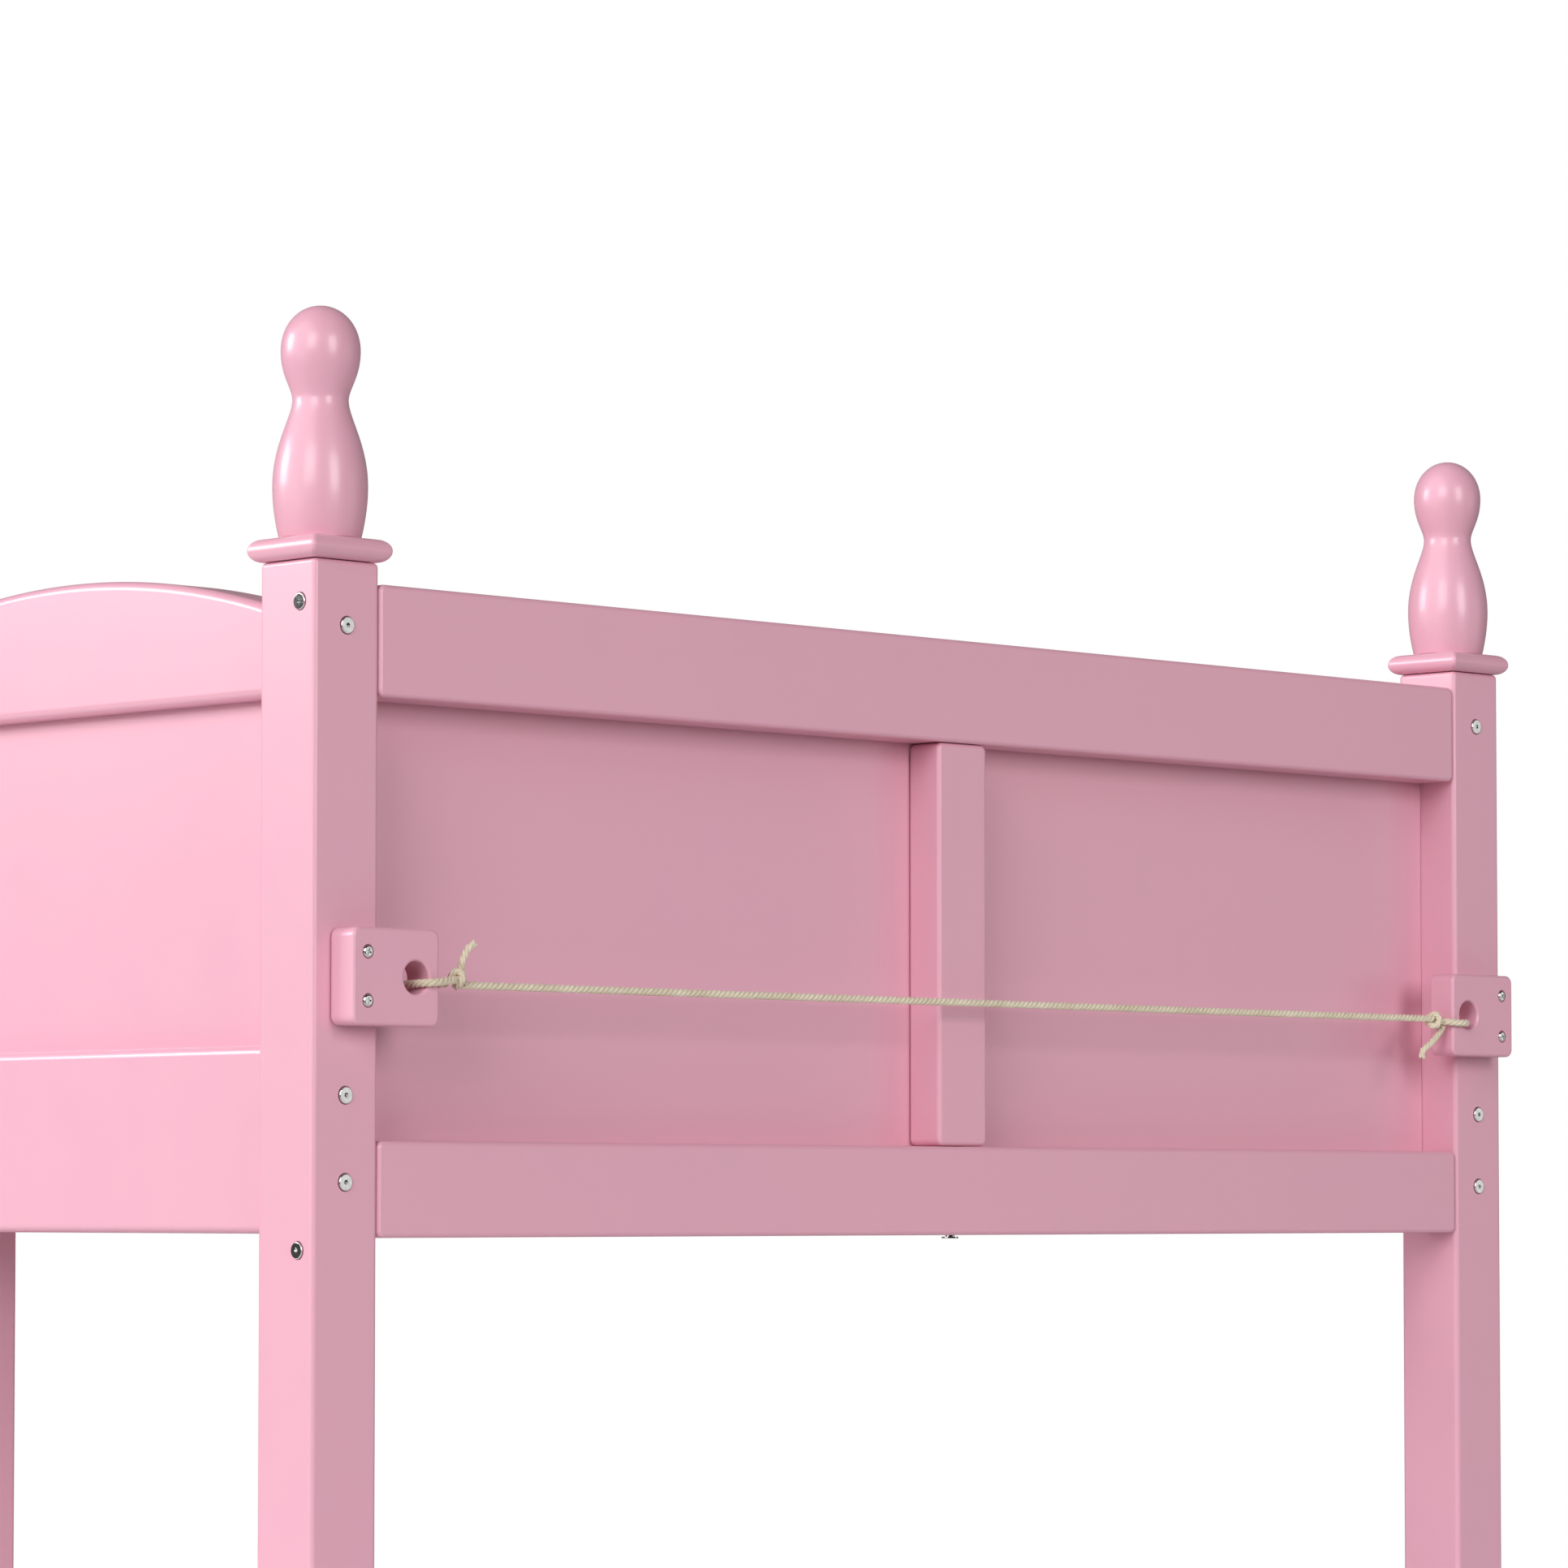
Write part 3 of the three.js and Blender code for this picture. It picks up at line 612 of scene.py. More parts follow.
def cotton_material():
    """Fibres follow the strands through the attribute that the rope's own tree stores."""
    material, graph = new_shader("cotton_rope")
    fibre = graph.node("ShaderNodeAttribute", {"attribute_name": "fibre"}, output="Vector")
    streak = noise(graph, fibre, scale=2.6, detail=3.0, roughness=0.6)
    fine = noise(graph, fibre, scale=9.0)
    place = graph.node("ShaderNodeTexCoord", output="Object")
    soil = noise(graph, place, scale=45.0, detail=3.0)
    tint = streak * STREAK_TONE + fine * FINE_TONE + soil * SOIL_TONE
    tone = clamped_ramp(graph, tint, low=0.36, high=0.62)
    colour = mixed(graph, tone, COTTON_DEEP, COTTON_LIGHT)
    height = streak * STREAK_HEIGHT + fine * (1 - STREAK_HEIGHT)
    relief = graph.node("ShaderNodeBump", {}, {
        "Strength": 0.6, "Distance": 0.25 * MM, "Height": height})
    rough = COTTON_ROUGHNESS - streak * STREAK_ON_COTTON
    shader = graph.node("ShaderNodeBsdfPrincipled", {}, {
        "Base Color": colour, "Roughness": rough, "Normal": relief, "Sheen Weight": 0.25,
        "Sheen Roughness": 0.5})
    finish_shader(graph, shader)
    return material


ZINC = zinc_material()
COTTON = cotton_material()
print("metal and cotton ready")

# %% [markdown]
# The rope is laid from three strands. Its route is the frame's route, point by point: a taut span
# between two knots, and a loop from each knot through the bore of its block.

# %% The rope's routes
ROPE_DIAMETER = 5 * MM
SPAN_Y = -1.0235
SPAN_Z = 0.7871
SPAN_X = (-0.4453, -0.400, -0.330, -0.260, -0.190, -0.120, -0.050, 0.020,
          0.090, 0.160, 0.230, 0.300, 0.370, 0.420, 0.4514)
ROPE_SPAN = [(x, SPAN_Y, SPAN_Z) for x in SPAN_X]
LOOP_LEFT = [
    (-0.4574, -1.0262, 0.7899), (-0.4640, -1.0294, 0.7893), (-0.4715, -1.0316, 0.7884),
    (-0.4786, -1.0317, 0.7877), (-0.4830, -1.0279, 0.7873), (-0.4837, -1.0200, 0.7870),
    (-0.4837, -1.0120, 0.7868), (-0.4826, -1.0063, 0.7866), (-0.4778, -1.0040, 0.7865),
    (-0.4710, -1.0047, 0.7865), (-0.4644, -1.0093, 0.7868), (-0.4594, -1.0156, 0.7876),
    (-0.4570, -1.0194, 0.7883),
]
LOOP_RIGHT = [
    (0.4634, -1.0262, 0.7854), (0.4682, -1.0300, 0.7849), (0.4745, -1.0321, 0.7846),
    (0.4805, -1.0319, 0.7846), (0.4853, -1.0282, 0.7847), (0.4858, -1.0200, 0.7850),
    (0.4850, -1.0120, 0.7858), (0.4831, -1.0062, 0.7868), (0.4778, -1.0039, 0.7873),
    (0.4715, -1.0049, 0.7875), (0.4672, -1.0096, 0.7874), (0.4646, -1.0152, 0.7872),
    (0.4632, -1.0194, 0.7870),
]
KNOT_LEFT = (-0.4513, -1.0235, 0.7907)
KNOT_RIGHT = (0.4573, -1.0235, 0.7862)


def route_length(points):
    return sum((Vector(a) - Vector(b)).length for a, b in zip(points, points[1:]))


print("span:", round(route_length(ROPE_SPAN), 4), "m")

# %% [markdown]
# What repeats or follows a path is made by Geometry Nodes here: the rope, the slats and the
# fasteners. A tree is like a function. Its sizes are named inputs, so one tree can lay the rope,
# its knots and its tails. It runs on a small seed mesh, and what it makes is kept as plain faces.

# %% Trees with named inputs


def new_tree(name, inputs):
    """A Geometry Nodes tree: its graph, what comes in, and a function that reads an input."""
    tree = bpy.data.node_groups.new(name, "GeometryNodeTree")
    graph = Graph(tree)
    tree.interface.new_socket("Geometry", in_out="INPUT", socket_type="NodeSocketGeometry")
    for title, kind, value in (*inputs, ("Material", "Material", None)):
        socket = tree.interface.new_socket(title, in_out="INPUT", socket_type="NodeSocket" + kind)
        if value is not None:
            socket.default_value = value
    tree.interface.new_socket("Geometry", in_out="OUTPUT", socket_type="NodeSocketGeometry")
    given = graph.node("NodeGroupInput", output="Geometry")

    def size(title):
        return graph.sibling(given, title)

    return graph, given, size


def close_tree(graph, shape, material):
    """Ends a tree. Instances become real faces, because the export drops instances."""
    mesh = graph.node("GeometryNodeRealizeInstances", {}, {"Geometry": shape})
    mesh = graph.node("GeometryNodeSetMaterial", {}, {"Geometry": mesh, "Material": material})
    graph.node("NodeGroupOutput", {}, {"Geometry": mesh})
    return graph.tree


def run_tree(tree, mesh, values):
    """The mesh that a tree makes from another, with its named inputs set by identifier."""
    thing = add_object("seed", mesh)
    modifier = thing.modifiers.new("nodes", "NODES")
    modifier.node_group = tree
    identifiers = {item.name: item.identifier for item in tree.interface.items_tree
                   if item.in_out == "INPUT"}
    for name, value in values.items():
        modifier[identifiers[name]] = value
    result = baked(thing)
    drop(thing)
    return result


print("tree helpers ready")

# %% [markdown]
# One tree makes every stretch of rope. It smooths the route, copies it once for each strand, winds
# the copies round it by their length, and sweeps a round section along them. The lay then stays
# true round the bends, which a twisted texture would not.

# %% The tree that lays a rope
LAY_LENGTH = 12.24 * MM
ROPE_STEP = 0.9 * MM
STRANDS = 3
STRAND_SIDES = 10
STRAND_SHARE = 0.505
FIBRE_TWIST = 260.0
FIBRE_STRETCH = 40.0


def laid_rope_tree():
    graph, given, size = new_tree("laid_rope", (
        ("Rope Radius", "Float", ROPE_DIAMETER / 2),
        ("Strand Radius", "Float", ROPE_DIAMETER / 2 * STRAND_SHARE),
        ("Strands", "Int", STRANDS), ("Lay Length", "Float", LAY_LENGTH), ("Flare", "Float", 0.0),
        ("Step", "Float", ROPE_STEP), ("Sides", "Int", STRAND_SIDES)))
    path = graph.node("GeometryNodeMeshToCurve", {}, {"Mesh": given})
    path = graph.node("GeometryNodeCurveSplineType", {"spline_type": "CATMULL_ROM"},
                      {"Curve": path})
    path = graph.node("GeometryNodeResampleCurve", {"mode": "LENGTH"},
                      {"Curve": path, "Length": size("Step")})
    copies = graph.node("GeometryNodeDuplicateElements", {"domain": "SPLINE"},
                        {"Geometry": path, "Amount": size("Strands")})
    index = graph.sibling(copies, "Duplicate Index")
    factor = graph.node("GeometryNodeSplineParameter", output="Factor")
    length = graph.sibling(factor, "Length")
    turn = (index / size("Strands") - length / size("Lay Length")) * math.tau
    reach = size("Rope Radius") - size("Strand Radius")
    reach = reach * (1 + size("Flare") * factor ** 2)
    tangent = graph.node("GeometryNodeInputTangent")
    normal = graph.node("GeometryNodeInputNormal")
    across = graph.vector("CROSS_PRODUCT", tangent, normal)
    first = graph.vector("SCALE", normal, Scale=graph.math("COSINE", turn) * reach)
    second = graph.vector("SCALE", across, Scale=graph.math("SINE", turn) * reach)
    wound = graph.node("GeometryNodeSetPosition", {},
                       {"Geometry": copies, "Offset": graph.vector("ADD", first, second)})
    along = graph.node("GeometryNodeCaptureAttribute", {"captures": [("FLOAT", "Along")]},
                       {"Geometry": wound, "Along": length})
    section = graph.node("GeometryNodeCurvePrimitiveCircle", {"mode": "RADIUS"},
                         {"Resolution": size("Sides"), "Radius": size("Strand Radius")})
    round_it = graph.node("GeometryNodeCaptureAttribute", {"captures": [("FLOAT", "Round")]},
                          {"Geometry": section, "Round": factor})
    mesh = graph.node("GeometryNodeCurveToMesh", {},
                      {"Curve": along, "Profile Curve": round_it, "Fill Caps": True})
    run = graph.sibling(along, "Along")
    angle = graph.sibling(round_it, "Round") * math.tau + run * FIBRE_TWIST
    fibre = graph.node("ShaderNodeCombineXYZ", {}, {
        "X": graph.math("COSINE", angle), "Y": graph.math("SINE", angle),
        "Z": run * FIBRE_STRETCH})
    mesh = graph.node("GeometryNodeStoreNamedAttribute",
                      {"data_type": "FLOAT_VECTOR", "domain": "POINT"},
                      {"Geometry": mesh, "Name": "fibre", "Value": fibre})
    return close_tree(graph, mesh, size("Material"))


LAID_ROPE = laid_rope_tree()


def chain(points):
    """A mesh of points joined one after another."""
    mesh = bpy.data.meshes.new("chain")
    links = [(i, i + 1) for i in range(len(points) - 1)]
    mesh.from_pydata([tuple(point) for point in points], links, [])
    return mesh


def laid(points, **changes):
    """A stretch of rope along some points, as a plain mesh."""
    values = {name.replace("_", " ").title(): value for name, value in changes.items()}
    return run_tree(LAID_ROPE, chain(points), {"Material": COTTON, **values})


def rope_piece(name, mesh):
    """A finished stretch of rope, standing for its node."""
    for polygon in mesh.polygons:
        polygon.use_smooth = True
    return piece(name + "_strands", mesh, COTTON, "rope", (name,))


print("rope tree:", len(LAID_ROPE.nodes), "nodes")

# %% [markdown]
# The knots are small and tight. Each is one route, given from the knot's own centre: right, up
# and towards the viewer. From the loop it goes under its own turn and round behind, comes over the
# top, runs down the front, curls under, and leaves behind as the tail. The same tree lays the
# strands along it. A tail's cut end is open by a hair. The span starts and ends inside the knots,
# so no cut end shows.

# %% Knots, tails and the declared rope
KNOT_ROPE_RADIUS = 2.3 * MM
KNOT_STRAND_RADIUS = 1.22 * MM
INSIDE_KNOT = 3 * MM
TIP_LENGTH = 1.6 * MM
TIP_STRAND_RADIUS = 1.15 * MM
TIP_STEP = 0.3 * MM
FLARE_LEFT = 0.12
FLARE_RIGHT = 0.1
TURN_LEFT = [
    (-1.5, -0.6, 1.0), (1.4, -0.9, -1.0), (0.4, -0.6, -3.4), (-2.8, 0.6, -3.4),
    (-4.4, 2.2, -1.4), (-3.7, 4.0, 0.6), (-2.6, 4.3, 2.4), (-1.2, 2.8, 3.6), (-1.1, 0.2, 4.2),
    (-2.0, -2.1, 3.9), (-2.4, -3.9, 2.4), (-1.8, -4.6, 0.0), (-0.4, -3.6, -3.0),
    (1.8, -0.6, -4.6), (2.8, 3.2, -3.0), (2.6, 6.2, -1.2),
]
TAIL_LEFT = [(2.6, 9.6, -0.6), (4.6, 14.6, -0.2), (7.6, 18.6, 0.0), (10.9, 20.7, 0.0)]
TURN_RIGHT = [
    (2.0, -0.6, 1.0), (-1.4, -0.4, -1.5), (-2.6, 1.4, -3.6), (-2.6, 3.2, -1.2), (-1.5, 4.2, 1.4),
    (0.0, 2.3, 3.0), (-0.2, -0.6, 3.8), (-1.6, -3.2, 3.4), (-3.4, -4.2, 2.0), (-5.1, -3.4, 0.0),
    (-4.5, -1.7, -3.0), (-0.5, -1.5, -4.9), (4.6, -2.0, -3.2), (7.6, -3.0, -0.8),
]
TAIL_RIGHT = [
    (6.6, -5.6, 0.8), (2.4, -9.3, 1.2), (-1.9, -13.2, 1.2), (-6.3, -16.4, 1.0),
    (-10.2, -18.7, 1.0), (-13.6, -20.8, 0.8), (-15.2, -23.1, 0.8), (-15.3, -25.0, 0.8),
]


def joined(meshes):
    """Several meshes as one."""
    solid = bmesh.new()
    for mesh in meshes:
        solid.from_mesh(mesh)
        bpy.data.meshes.remove(mesh)
    result = bpy.data.meshes.new("joined")
    solid.to_mesh(result)
    solid.free()
    return result


def about(centre, offsets):
    """Points from offsets in millimetres: right, up and towards the viewer."""
    return [(centre[0] + right * MM, centre[1] - near * MM, centre[2] + up * MM)
            for right, up, near in offsets]


def tail_tip(points, flare):
    """The last of a tail, where its three strands stand a little apart."""
    last = Vector(points[-1])
    heading = (last - Vector(points[-2])).normalized()
    route = [last - heading * TIP_LENGTH, last, last + heading * TIP_LENGTH]
    return laid(route, rope_radius=KNOT_ROPE_RADIUS, strand_radius=TIP_STRAND_RADIUS,
                flare=flare, step=TIP_STEP)


def knot(name, centre, loop_end, turn, tail, flare):
    tail = about(centre, tail)
    route = [loop_end] + about(centre, turn) + tail
    body = laid(route, rope_radius=KNOT_ROPE_RADIUS, strand_radius=KNOT_STRAND_RADIUS)
    return rope_piece(name, joined([body, tail_tip(tail, flare)]))


knot_left = knot("rope_knot_left", KNOT_LEFT, LOOP_LEFT[0], TURN_LEFT, TAIL_LEFT, FLARE_LEFT)
knot_right = knot("rope_knot_right", KNOT_RIGHT, LOOP_RIGHT[0], TURN_RIGHT, TAIL_RIGHT,
                  FLARE_RIGHT)
loop_left = rope_piece("rope_loop_left", laid(LOOP_LEFT))
loop_right = rope_piece("rope_loop_right", laid(LOOP_RIGHT))
into_knot = Vector((INSIDE_KNOT, 0, 0))
span = rope_piece("rope_span", laid([Vector(ROPE_SPAN[0]) - into_knot, *ROPE_SPAN[1:-1],
                                     Vector(ROPE_SPAN[-1]) + into_knot]))
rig.cord(span, exit=ROPE_SPAN[0], length=route_length(ROPE_SPAN), diameter=ROPE_DIAMETER,
        far_end="knot", stiffness="limp", lay="taut", path=ROPE_SPAN)
for loop, points, tied in ((loop_left, LOOP_LEFT, knot_left),
                           (loop_right, LOOP_RIGHT, knot_right)):
    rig.cord(loop, exit=points[0], length=route_length(points), diameter=ROPE_DIAMETER,
            far_end="object", stiffness="limp", lay="taut", path=points, with_pieces=[tied])
print("rope pieces:", len(span.data.polygons), "faces in the span")

# %% [markdown]
# Posts are 50 mm square. Each has shallow recesses for the connector bolts, with a rim that the
# lacquer has rounded, and a bore in its top for the finial's peg. A plain drill would leave a sharp
# rim, so the cutting shape is turned with a rounded one, and cuts recess and rim in one go.

# %% Posts
POST_CORNER = 3.2 * MM
POST_EDGE = 2.8 * MM
BOLT_RECESS_RADIUS = 5.4 * MM
BOLT_RECESS_DEPTH = 2.2 * MM
RIM_ROUND = 0.5 * MM
RIM_STEPS = 4
RECESS_SIDES = 48
PEG_RADIUS = 5 * MM
PEG_DEPTH = 26 * MM
UP = (0, 0, 1)
ENDS = (("near", -1), ("far", 1))
SIDES = (("left", -1), ("right", 1))


def recess_tool(centre, outward, radius, depth):
    """What a drill takes out: a flat-bottomed round recess whose rim is rounded over."""
    profile = [(0, -depth), (radius, -depth)]
    profile += arc(radius + RIM_ROUND, -RIM_ROUND, RIM_ROUND, 180, 90, RIM_STEPS)
    profile += [(radius + RIM_ROUND, PAST), (0, PAST)]
    return turned(profile, centre, outward, RECESS_SIDES)


END_BOLTS_UP = (670.5 * MM, 721.3 * MM, 996.4 * MM)
SIDE_BOLTS_UP = (630.9 * MM, 1009.7 * MM)
SIDE_BOLT_INSET = 13.4 * MM


def post_bolts(tag, end_sign, side_sign):
    """Where a post's bolts sit: a point on the face, and the way that face looks."""
    low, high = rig.box("post_" + tag)
    middle = (low + high) / 2
    end_face = low.y if end_sign < 0 else high.y
    side_face = low.x if side_sign < 0 else high.x
    found = []
    for z in END_BOLTS_UP:
        found.append((Vector((middle.x, end_face, z)), Vector((0, end_sign, 0))))
    for z in SIDE_BOLTS_UP:
        y = end_face - end_sign * SIDE_BOLT_INSET
        found.append((Vector((side_face, y, z)), Vector((side_sign, 0, 0))))
    return found


all_bolts = []
for end, end_sign in ENDS:
    for side, side_sign in SIDES:
        tag = end + "_" + side
        low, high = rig.box("post_" + tag)
        top = Vector(((low.x + high.x) / 2, (low.y + high.y) / 2, high.z))
        bolts = post_bolts(tag, end_sign, side_sign)
        cuts = [recess_tool(place, out, BOLT_RECESS_RADIUS, BOLT_RECESS_DEPTH)
                for place, out in bolts]
        cuts.append(recess_tool(top, UP, PEG_RADIUS + CLEARANCE, PEG_DEPTH))
        wooden("post_" + tag, board(low, high, 2, POST_CORNER, POST_EDGE), cuts)
        all_bolts += bolts
print("post bolts:", len(all_bolts))

# %% [markdown]
# A cap is a square board whose four edges are full round noses, mitred at the corners. Two bevels
# of half its thickness would meet in faces of no height, so stacked square rings that follow a
# half circle give that form. The mitre is rubbed down a little, as lacquered corners are.

# %% Caps
CAP_NOSE_STEPS = 20
CAP_CORNER = 2.2 * MM


def cap(tag):
    low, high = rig.box("post_cap_" + tag)
    middle = (low + high) / 2
    nose = (high.z - low.z) / 2
    flat = (high.x - low.x) / 2 - nose
    solid = bmesh.new()
    rings = []
    for out, up in arc(flat, middle.z, nose, -90, 90, CAP_NOSE_STEPS):
        outline = rounded_outline(-out, -out, out, out, CAP_CORNER)
        rings.append([solid.verts.new((middle.x + a, middle.y + b, up)) for a, b in outline])
    for below, above in zip(rings, rings[1:]):
        for i in range(len(below)):
            solid.faces.new((below[i - 1], below[i], above[i], above[i - 1]))
    solid.faces.new(rings[0])
    solid.faces.new(rings[-1])
    bmesh.ops.recalc_face_normals(solid, faces=solid.faces[:])
    bore = turned([(0, low.z - PAST), (PEG_RADIUS + CLEARANCE, low.z - PAST),
                   (PEG_RADIUS + CLEARANCE, high.z + PAST), (0, high.z + PAST)],
                  (middle.x, middle.y, 0), UP, RECESS_SIDES)
    wooden("post_cap_" + tag, solid, [bore])


for end, _ in ENDS:
    for side, _ in SIDES:
        cap(end + "_" + side)
print("caps made")

# %% [markdown]
# The finials are turned. Their outline is four curves: the flare of the foot into the belly, the
# shoulder into the neck, the neck into the head, and the crown. Each curve is its start, its two
# handles and its end, in millimetres from the axis and above the cap. Where two curves meet, their
# handles run the same way, so the outline has no kink.

# %% Finials
FINIAL_SIDES = 96
CURVE_STEPS = 18
FINIAL_PEG_LENGTH = 38.9 * MM
FINIAL_CURVES = (
    ((24.2, 0), (26.6, 10), (28.2, 20), (28.2, 31)),
    ((28.2, 31), (28.2, 56), (16.6, 72.2), (16.6, 82.2)),
    ((16.6, 82.2), (16.6, 89.2), (23.6, 96.3), (23.6, 111.3)),
    ((23.6, 111.3), (23.6, 126.8), (13.2, 138.3), (0, 138.3)),
)


def template_curve(a, b, c, d):
    """A Bezier curve from a, which is left out, to d. b and c are the ends of its handles."""
    found = []
    for i in range(1, CURVE_STEPS + 1):
        t = i / CURVE_STEPS
        weights = ((1 - t) ** 3, 3 * t * (1 - t) ** 2, 3 * t * t * (1 - t), t ** 3)
        radius, height = (sum(w * p[k] for w, p in zip(weights, (a, b, c, d))) for k in (0, 1))
        found.append((radius * MM, height * MM))
    return found


def finial(tag):
    low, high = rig.box("finial_" + tag)
    centre = ((low.x + high.x) / 2, (low.y + high.y) / 2, low.z + FINIAL_PEG_LENGTH)
    profile = [(0, -FINIAL_PEG_LENGTH), (PEG_RADIUS, -FINIAL_PEG_LENGTH), (PEG_RADIUS, 0),
               (FINIAL_CURVES[0][0][0] * MM, 0)]
    for curve in FINIAL_CURVES:
        profile += template_curve(*curve)
    return wooden("finial_" + tag, turned(profile, centre, UP, FINIAL_SIDES))


for end, _ in ENDS:
    for side, _ in SIDES:
        made = finial(end + "_" + side)
print("finial faces:", len(made.data.polygons))

# %% [markdown]
# The end frames are plain boards: two rails between the posts, a muntin between the rails and a
# thin panel behind them. Each is a prism over an outline with round corners, whose edges are then
# eased, because corners and edges have rounds of their own. The small rounds make the dark lines
# where two boards meet.

# %% End frames
RAIL_CORNER = 4.6 * MM
RAIL_EDGE = 2.8 * MM
PANEL_CORNER = 0.8 * MM
PANEL_EDGE = 0.6 * MM
for end, _ in ENDS:
    for part in ("low_rail", "top_rail", "muntin"):
        node = f"{end}_end_{part}"
        wooden(node, board(*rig.box(node), 1, RAIL_CORNER, RAIL_EDGE))
    node = f"{end}_end_panel"
    wooden(node, board(*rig.box(node), 1, PANEL_CORNER, PANEL_EDGE))
print("end frames made")

# %% [markdown]
# On the long sides the rails are thicker and softer, with edges of nearly 6 mm. Grooves hold the
# guard's panel on every side, so each is cut by that panel's own box, grown by its clearance. A
# guard's top rail rises in one arc from end to end, worked out from its length and its rise.

# %% Long sides
SIDE_CORNER = 6.2 * MM
SIDE_EDGE = 5.6 * MM
STILE_CORNER = 3.4 * MM
STILE_EDGE = 2.8 * MM
GUARD_RISE = 26.6 * MM
ARCH_STEPS = 64


def guard_rail(node, panel):
    low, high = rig.box(node)
    half = (high.y - low.y) / 2
    radius = (half * half + GUARD_RISE * GUARD_RISE) / (2 * GUARD_RISE)
    sweep = math.degrees(math.asin(half / radius))
    middle = (low.y + high.y) / 2
    outline = [(low.y, low.z), (high.y, low.z)]
    outline += arc(middle, high.z - radius, radius, 90 - sweep, 90 + sweep, ARCH_STEPS)
    wooden(node, ease(prism(outline, 0, low.x, high.x), SIDE_EDGE), [grown_box(panel)])


for side, panels in (("left", ("short_guard_panel", "long_guard_panel")),
                     ("right", ("full_guard_panel",))):
    node = "side_rail_" + side
    wooden(node, board(*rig.box(node), 0, SIDE_CORNER, SIDE_EDGE), [grown_box(p) for p in panels])
for guard in ("short_guard", "long_guard", "full_guard"):
    guard_rail(guard + "_rail", guard + "_panel")
    wooden(guard + "_panel", board(*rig.box(guard + "_panel"), 0, PANEL_CORNER, PANEL_EDGE))
for guard in ("short_guard", "long_guard"):
    node = guard + "_stile"
    wooden(node, board(*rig.box(node), 0, STILE_CORNER, STILE_EDGE), [grown_box(guard + "_panel")])
print("long sides made")

# %% [markdown]
# The ladder's legs are notched over the cleat that carries the slats, and its rungs are housed in
# the legs. The same grown boxes cut both, so each joint fits its own piece.

# %% Ladder and cleats
LEG_CORNER = 3.2 * MM
LEG_EDGE = 2.8 * MM
RUNG_CORNER = 2.8 * MM
RUNG_EDGE = 2.4 * MM
DECK_EDGE = 1.5 * MM
CLEAT_CORNER = 1.725 * MM
for leg in ("ladder_leg_near", "ladder_leg_far"):
    cuts = [grown_box(node) for node in ("slat_cleat_left", "ladder_rung_1", "ladder_rung_2")]
    wooden(leg, board(*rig.box(leg), 2, LEG_CORNER, LEG_EDGE), cuts)
for rung in ("ladder_rung_1", "ladder_rung_2"):
    wooden(rung, board(*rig.box(rung), 1, RUNG_CORNER, RUNG_EDGE))
for side, _ in SIDES:
    node = "slat_cleat_" + side
    wooden(node, board(*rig.box(node), 2, CLEAT_CORNER, DECK_EDGE))
print("ladder made")

# %% [markdown]
# Twelve equal slats at an equal pitch follow a rule, so Geometry Nodes make them: one slat is a
# section with filleted corners, swept across the bed, and a row of points carries its copies. The
# pitch and the slat's own size are measured in the frame and come in as inputs.

# %% Slats
SLAT_COUNT = 12
SLATS = ["slat_%02d" % (i + 1) for i in range(SLAT_COUNT)]
SLAT_EDGE_STEPS = 4


def slat_tree():
    graph, given, size = new_tree("slat_row", (
        ("Count", "Int", SLAT_COUNT), ("Pitch", "Float", None), ("Length", "Float", None),
        ("Width", "Float", None), ("Thickness", "Float", None), ("Edge", "Float", DECK_EDGE)))

    def offset(**parts):
        return graph.node("ShaderNodeCombineXYZ", {}, parts)

    half = size("Length") * 0.5
    across = graph.node("GeometryNodeCurvePrimitiveLine", {},
                        {"Start": offset(X=half * -1), "End": offset(X=half)})
    section = graph.node("GeometryNodeCurvePrimitiveQuadrilateral", {"mode": "RECTANGLE"},
                         {"Width": size("Width"), "Height": size("Thickness")})
    section = graph.node("GeometryNodeFilletCurve", {"mode": "POLY"},
                         {"Curve": section, "Radius": size("Edge"), "Count": SLAT_EDGE_STEPS})
    slat = graph.node("GeometryNodeCurveToMesh", {},
                      {"Curve": across, "Profile Curve": section, "Fill Caps": True})
    row = graph.node("GeometryNodeMeshLine", {"mode": "OFFSET"},
                     {"Count": size("Count"), "Offset": offset(Y=size("Pitch"))})
    placed = graph.node("GeometryNodeInstanceOnPoints", {}, {"Points": row, "Instance": slat})
    first = graph.node("GeometryNodeInputPosition")
    start = graph.node("GeometryNodeSampleIndex",
                       {"data_type": "FLOAT_VECTOR", "domain": "POINT"},
                       {"Geometry": given, "Value": first, "Index": 0})
    placed = graph.node("GeometryNodeTranslateInstances", {},
                        {"Instances": placed, "Translation": start, "Local Space": False})
    return close_tree(graph, placed, size("Material"))


def slats():
    low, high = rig.box(SLATS[0])
    last_low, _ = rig.box(SLATS[-1])
    seed = bpy.data.meshes.new("first_slat")
    seed.from_pydata([tuple((low + high) / 2)], [], [])
    mesh = run_tree(slat_tree(), seed, {
        "Pitch": (last_low.y - low.y) / (SLAT_COUNT - 1), "Length": high.x - low.x,
        "Width": high.y - low.y, "Thickness": high.z - low.z, "Material": LACQUER})
    return piece("slat_row", dressed(mesh), LACQUER, "pink_lacquer", SLATS)


slat_row = slats()
print("slats start at:", [round(v, 4) for v in slat_row.bound_box[0]])

# %% [markdown]
# Each rope block is screwed to the face of its post and overhangs it inwards, where the bore for
# the rope is. The bore's two mouths are rounded over, so that the rope doesn't chafe. One turned
# shape cuts the bore with both of its mouths.

